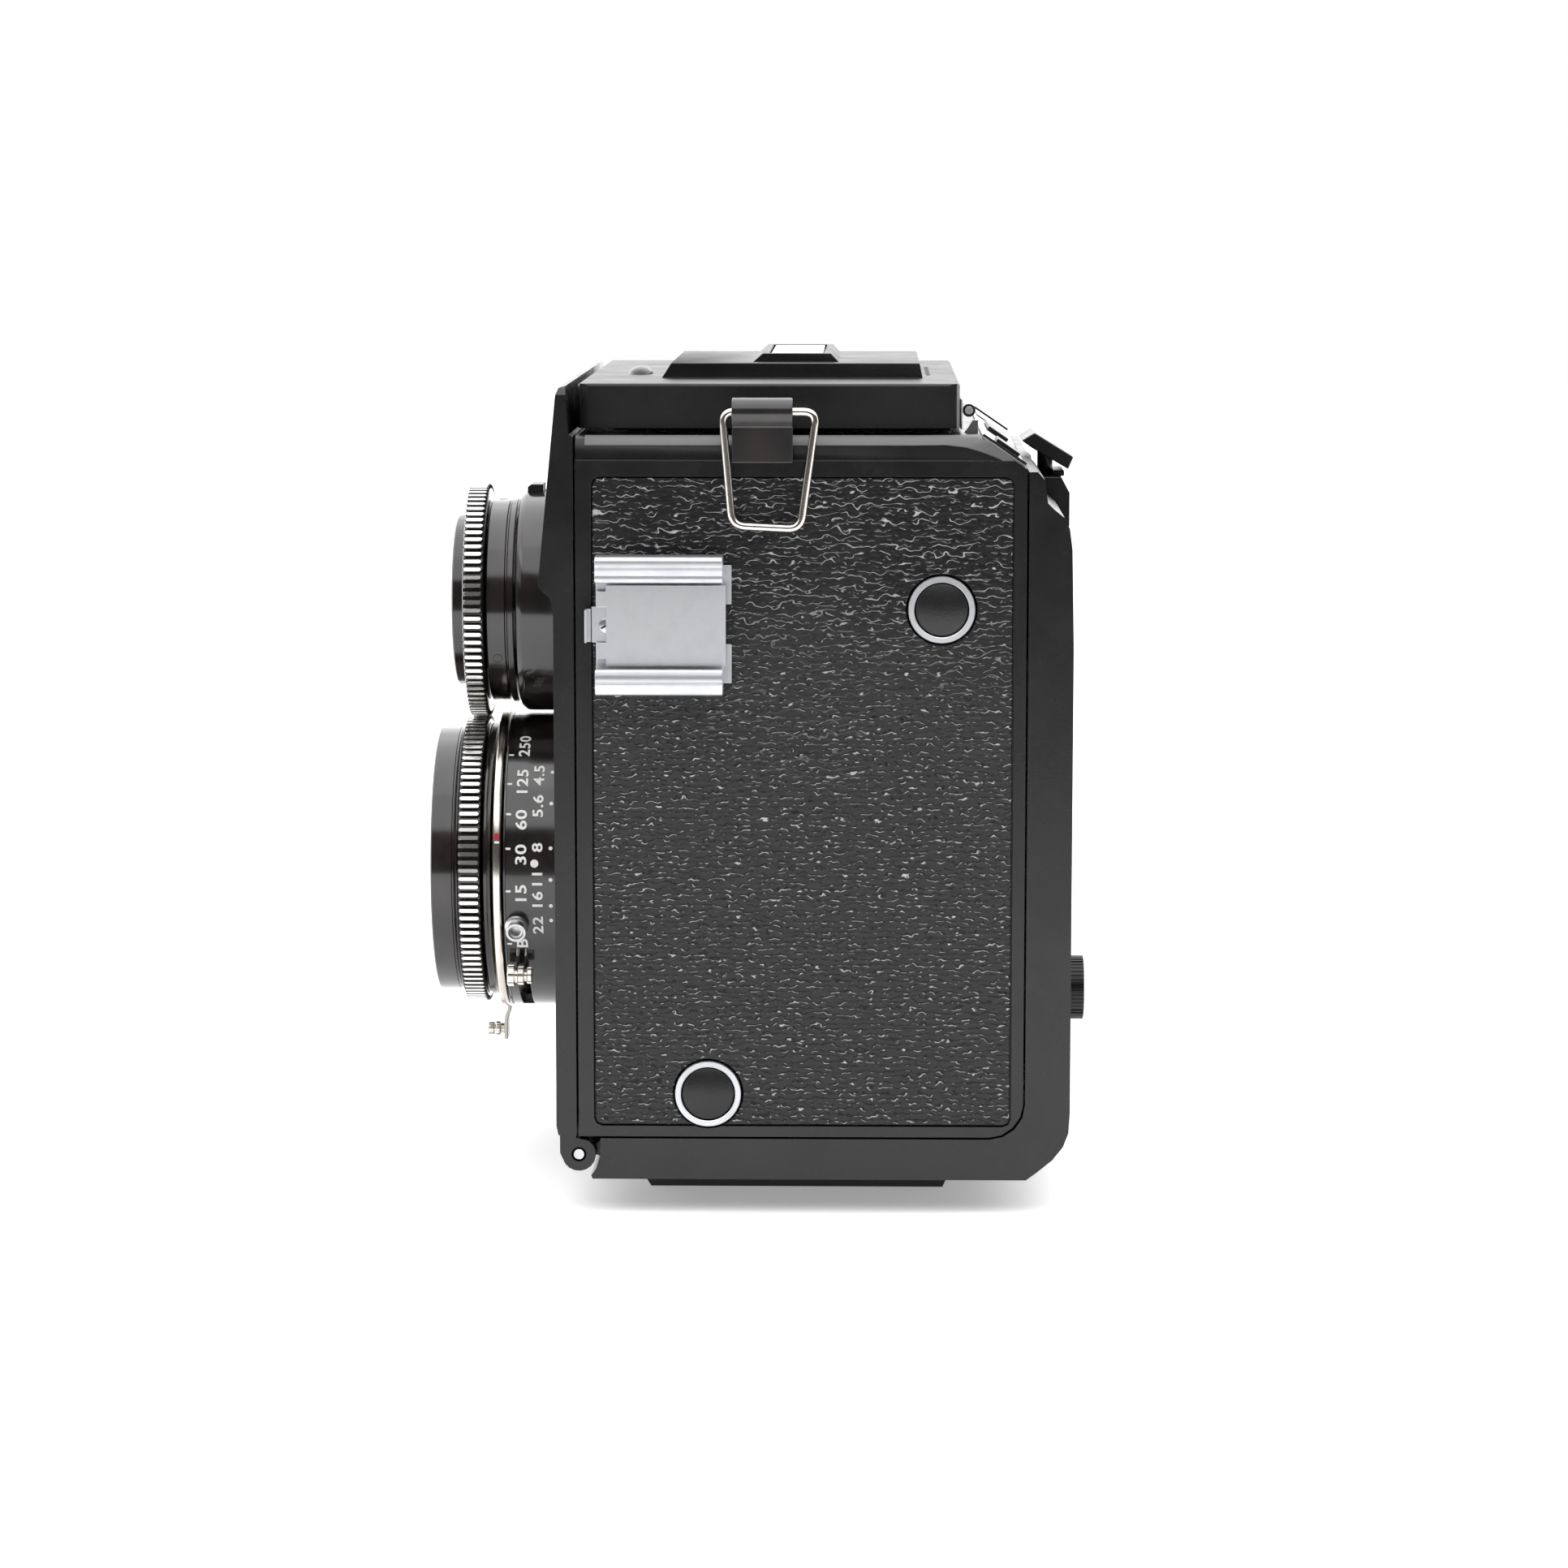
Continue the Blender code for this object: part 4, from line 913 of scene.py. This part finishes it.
def lid_hinge_line():
    """The bright strip behind the lid, with its knuckle and gusset."""
    bm = bmesh.new()
    add_box(bm, -40.5, 40.5, 26.5, 26.8, 115.4, 119.8)
    add_prism(bm, [(27.1, 114.6), (28.4, 116.6), (29.2, 116.6), (29.2, 114.75)], 35.8, 37.0)
    piece("hood_strip", bm, "steel", "body", "hood_rear_plate", bevel=0.08)
    for name, mat, radius, inner, end in (("hood_knuckle", "barrel_black", 0.96, 33, 37.2),
                                          ("hood_knuckle_pin", "alu_bright", 0.6, 36, 37.3)):
        bm = bmesh.new()
        add_prism(bm, circle(27.8, 118.0, radius, 32), inner, end)
        piece(name, bm, mat, "body", bevel=0.05, sharp=40)


def shoulder_rails():
    """The rounding along the top of each side, widening down the rear slope, coloured pale grey as
    a painted highlight.
    """
    level = [(46.42, 113.42), (45.88, 114.37), (44.9, 114.78)]
    stations = [[(x, -28, z) for x, z in level], [(x, 20, z) for x, z in level],
                [(46.45, 24.2, 113.5), (45.95, 26.0, 114.45), (44.9, 26.0, 114.85)],
                [(46.55, 27.2, 113.2), (46.05, 28.6, 114.55), (44.9, 29.3, 114.95)],
                [(46.7, 29.4, 112.6), (46.5, 31.0, 113.75), (45.6, 31.2, 113.72)],
                [(46.8, 31.3, 111.9), (46.7, 32.6, 112.65), (45.6, 32.7, 112.67)],
                [(46.85, 32.7, 111.15), (46.75, 34.0, 111.7), (45.6, 34.1, 111.68)],
                [(46.85, 34.9, 110.75), (46.75, 35.4, 110.72), (45.6, 35.5, 110.68)]]
    for word, side in SIDES:
        bm = bmesh.new()
        rings = [[(side * x, y, z) for x, y, z in outer]
                 + [(side * (x - 0.5), y, z - 0.35) for x, y, z in reversed(outer)]
                 for outer in stations]
        add_skin(bm, [[bm.verts.new(p) for p in ring] for ring in rings])
        # the strip's pale grey is a painted highlight
        piece(f"shoulder_rail_{word}", bm, "rail_plastic", "body", sharp=50)


LID_SIDE_X, LID_REAR_Y, LID_FRONT_Y, LID_TOP_Z = 42.4, 26.3, -29.2, 122.0


def crown(obj, width):
    """Rounds the outer top edges and the upright corners of the lid."""
    mesh = obj.data
    weight = mesh.attributes.new("bevel_weight_edge", "FLOAT", "EDGE")
    for edge in mesh.edges:
        ends = [mesh.vertices[i].co * PER_METRE for i in edge.vertices]
        at_side = [abs(p.x) > LID_SIDE_X for p in ends]
        at_end = [p.y > LID_REAR_Y or p.y < LID_FRONT_Y for p in ends]
        rim = all(a or b for a, b in zip(at_side, at_end))
        upright = all(at_side + at_end) and abs(ends[0].z - ends[1].z) > 1
        if rim and (upright or all(p.z > LID_TOP_Z for p in ends)):
            weight.data[edge.index].value = 1.0
    step = obj.modifiers.new("crown", "BEVEL")
    step.width, step.segments = width * MM, 4
    step.limit_method, step.harden_normals = "WEIGHT", True
    obj.modifiers.move(len(obj.modifiers) - 1, 0)


def hood():
    crown(refine("hood_lid", "lid_plastic", 0.5, 30, 3), 1.5)
    refine("lid_insert", "insert_white", 0.15)
    refine("hood_frame", "body_plastic", 0.2)
    for node in ("flap_right", "flap_left", "flap_rear", "loupe_frame"):
        refine(node, "matt_black", 0.08)
    refine("loupe_glass", "lens_glass", 0.0)
    refine("focusing_screen", "ground_screen", 0.1)
    refine("mirror", "mirror", 0.1)
    refine("mirror_bracket", "matt_black", 0.2)
    # a low dome near the front of the lid, drawn out across X
    dome = []
    for k in range(5):
        a = math.radians(90 * k / 4)
        dome.append((1.9 * math.sin(a) if k else 0, LID_TOP_Z + 1.3 * math.cos(a)))
    x = 8
    move = (Matrix.Translation((x, 0, 0)) @ Matrix.Diagonal((2.4, 1, 1, 1))
            @ Matrix.Translation((-x, 0, 0)))
    turned("lid_bump", dome, "Z", (x, -21.7), "body_plastic", "lid", (), 40, closed=False,
           move=move, sharp=60)
    bm = bmesh.new()
    add_box(bm, -16, 14, 21.8, 22.4, LID_TOP_Z, LID_TOP_Z + 0.14)
    piece("lid_slit", bm, "matt_black", "lid")


def shell():
    refine("body_shell", "body_plastic", 0.45, 28, 3)
    refine("front_panel", "body_plastic", 0.7, 28, 3)
    refine("film_chamber", "matt_black", 0.2)
    for node in ("take_up_spool", "feed_spool"):
        refine(node, "matt_black", 0.15)


def window():
    refine("window_glass", "red_glass", 0.1)


# ------------------------------------------------------------------ stage, light and view

def stage():
    bm = bmesh.new()
    add_box(bm, -2600, 500, -1700, 1700, -2.0, 0.0)
    bmesh.ops.recalc_face_normals(bm, faces=bm.faces)
    mesh = mesh_of("floor", bm)
    floor = bpy.data.objects.new("floor", mesh)
    bpy.context.scene.collection.objects.link(floor)
    # the paper glows a little, as on a light table, which keeps the shadow under the body pale
    sh = Shader("floor_paper", (0.80, 0.80, 0.80), 0.9, Specular_IOR_Level=0.1,
                Emission_Color=(1, 1, 1, 1), Emission_Strength=0.30)
    sh.add_height(sh.noise(1.0, 3), 1.0)
    sh.bump(0.02, 0.2)
    mesh.materials.append(sh.mat)


def light_from(name, place, target, size, power):
    """A rectangular area light, in metres and watts, turned to its target."""
    lamp = bpy.data.lights.new(name, "AREA")
    lamp.shape = "RECTANGLE"
    lamp.size, lamp.size_y = size
    lamp.energy = power
    obj = bpy.data.objects.new(name, lamp)
    bpy.context.scene.collection.objects.link(obj)
    obj.location = Vector(place)
    obj.rotation_euler = (Vector(target) - obj.location).to_track_quat("-Z", "Y").to_euler()
    return obj


def world():
    """White studio air that lights the object, dark low down on the camera's side."""
    air, dark_share = 2.1, 0.97
    made = bpy.data.worlds.new("studio")
    bpy.context.scene.world = made
    made.use_nodes = True
    tree = made.node_tree
    back = tree.nodes["Background"]
    coord = tree.nodes.new("ShaderNodeTexCoord")
    split = tree.nodes.new("ShaderNodeSeparateXYZ")
    tree.links.new(coord.outputs["Generated"], split.inputs[0])
    near = smooth_step(tree, split.outputs["X"], -0.25, 0.35, 0.0, 1.0)
    low = smooth_step(tree, split.outputs["Z"], 0.48, 0.56, 1.0, 0.0)
    dark = calc(tree, "MULTIPLY", near, low)
    around = calc(tree, "SUBTRACT", 1.0, calc(tree, "MULTIPLY", dark, dark_share))
    # the background itself is seen at a strength of 1
    seen = tree.nodes.new("ShaderNodeLightPath").outputs["Is Camera Ray"]
    unseen = calc(tree, "SUBTRACT", 1.0, seen)
    lit = calc(tree, "MULTIPLY", calc(tree, "MULTIPLY", around, air), unseen)
    tree.links.new(calc(tree, "ADD", lit, seen), back.inputs["Strength"])
    back.inputs["Color"].default_value = (1, 1, 1, 1)


SENSOR_MM = 36
IMAGE_WIDTH = 1932  # pixels
PIXELS_PER_MM = 7.87  # at the target
DISTANCE_MM = 700


def camera():
    made = bpy.data.cameras.new("view")
    obj = bpy.data.objects.new("view", made)
    bpy.context.scene.collection.objects.link(obj)
    pitch, yaw = math.radians(7.7), math.radians(1.1)
    back = Vector((math.cos(pitch) * math.cos(yaw), math.cos(pitch) * math.sin(yaw),
                   math.sin(pitch)))
    target = Vector((0, 0, 0.0577))
    obj.location = target + back * (DISTANCE_MM / PER_METRE)
    obj.rotation_euler = back.to_track_quat("Z", "Y").to_euler()
    made.sensor_width = SENSOR_MM
    made.lens = SENSOR_MM * PIXELS_PER_MM * DISTANCE_MM / IMAGE_WIDTH
    made.clip_start, made.clip_end = 0.01, 20
    bpy.context.scene.camera = obj


def studio():
    stage()
    world()
    light_from("top_soft", (-0.2, 0.0, 1.1), (0, 0, 0.05), (1.3, 1.6), 3.0)
    light_from("front_soft", (0.5, -1.1, 0.75), (0, 0, 0.06), (0.7, 0.7), 1.5)
    fill = light_from("near_fill", (1.1, 0.0, 0.16), (0, 0, 0.0), (1.2, 0.22), 2.0)
    fill.visible_glossy = False
    camera()
    bpy.context.scene.view_settings.view_transform = "Standard"


make_materials()
shell()
coverings()
viewing_lens()
taking_lens()
shutter()
shoe()
strap_fittings()
side_buttons()
advance_knob()
door_details()
slope_details()
lid_hinge_line()
shoulder_rails()
hood()
window()
studio()
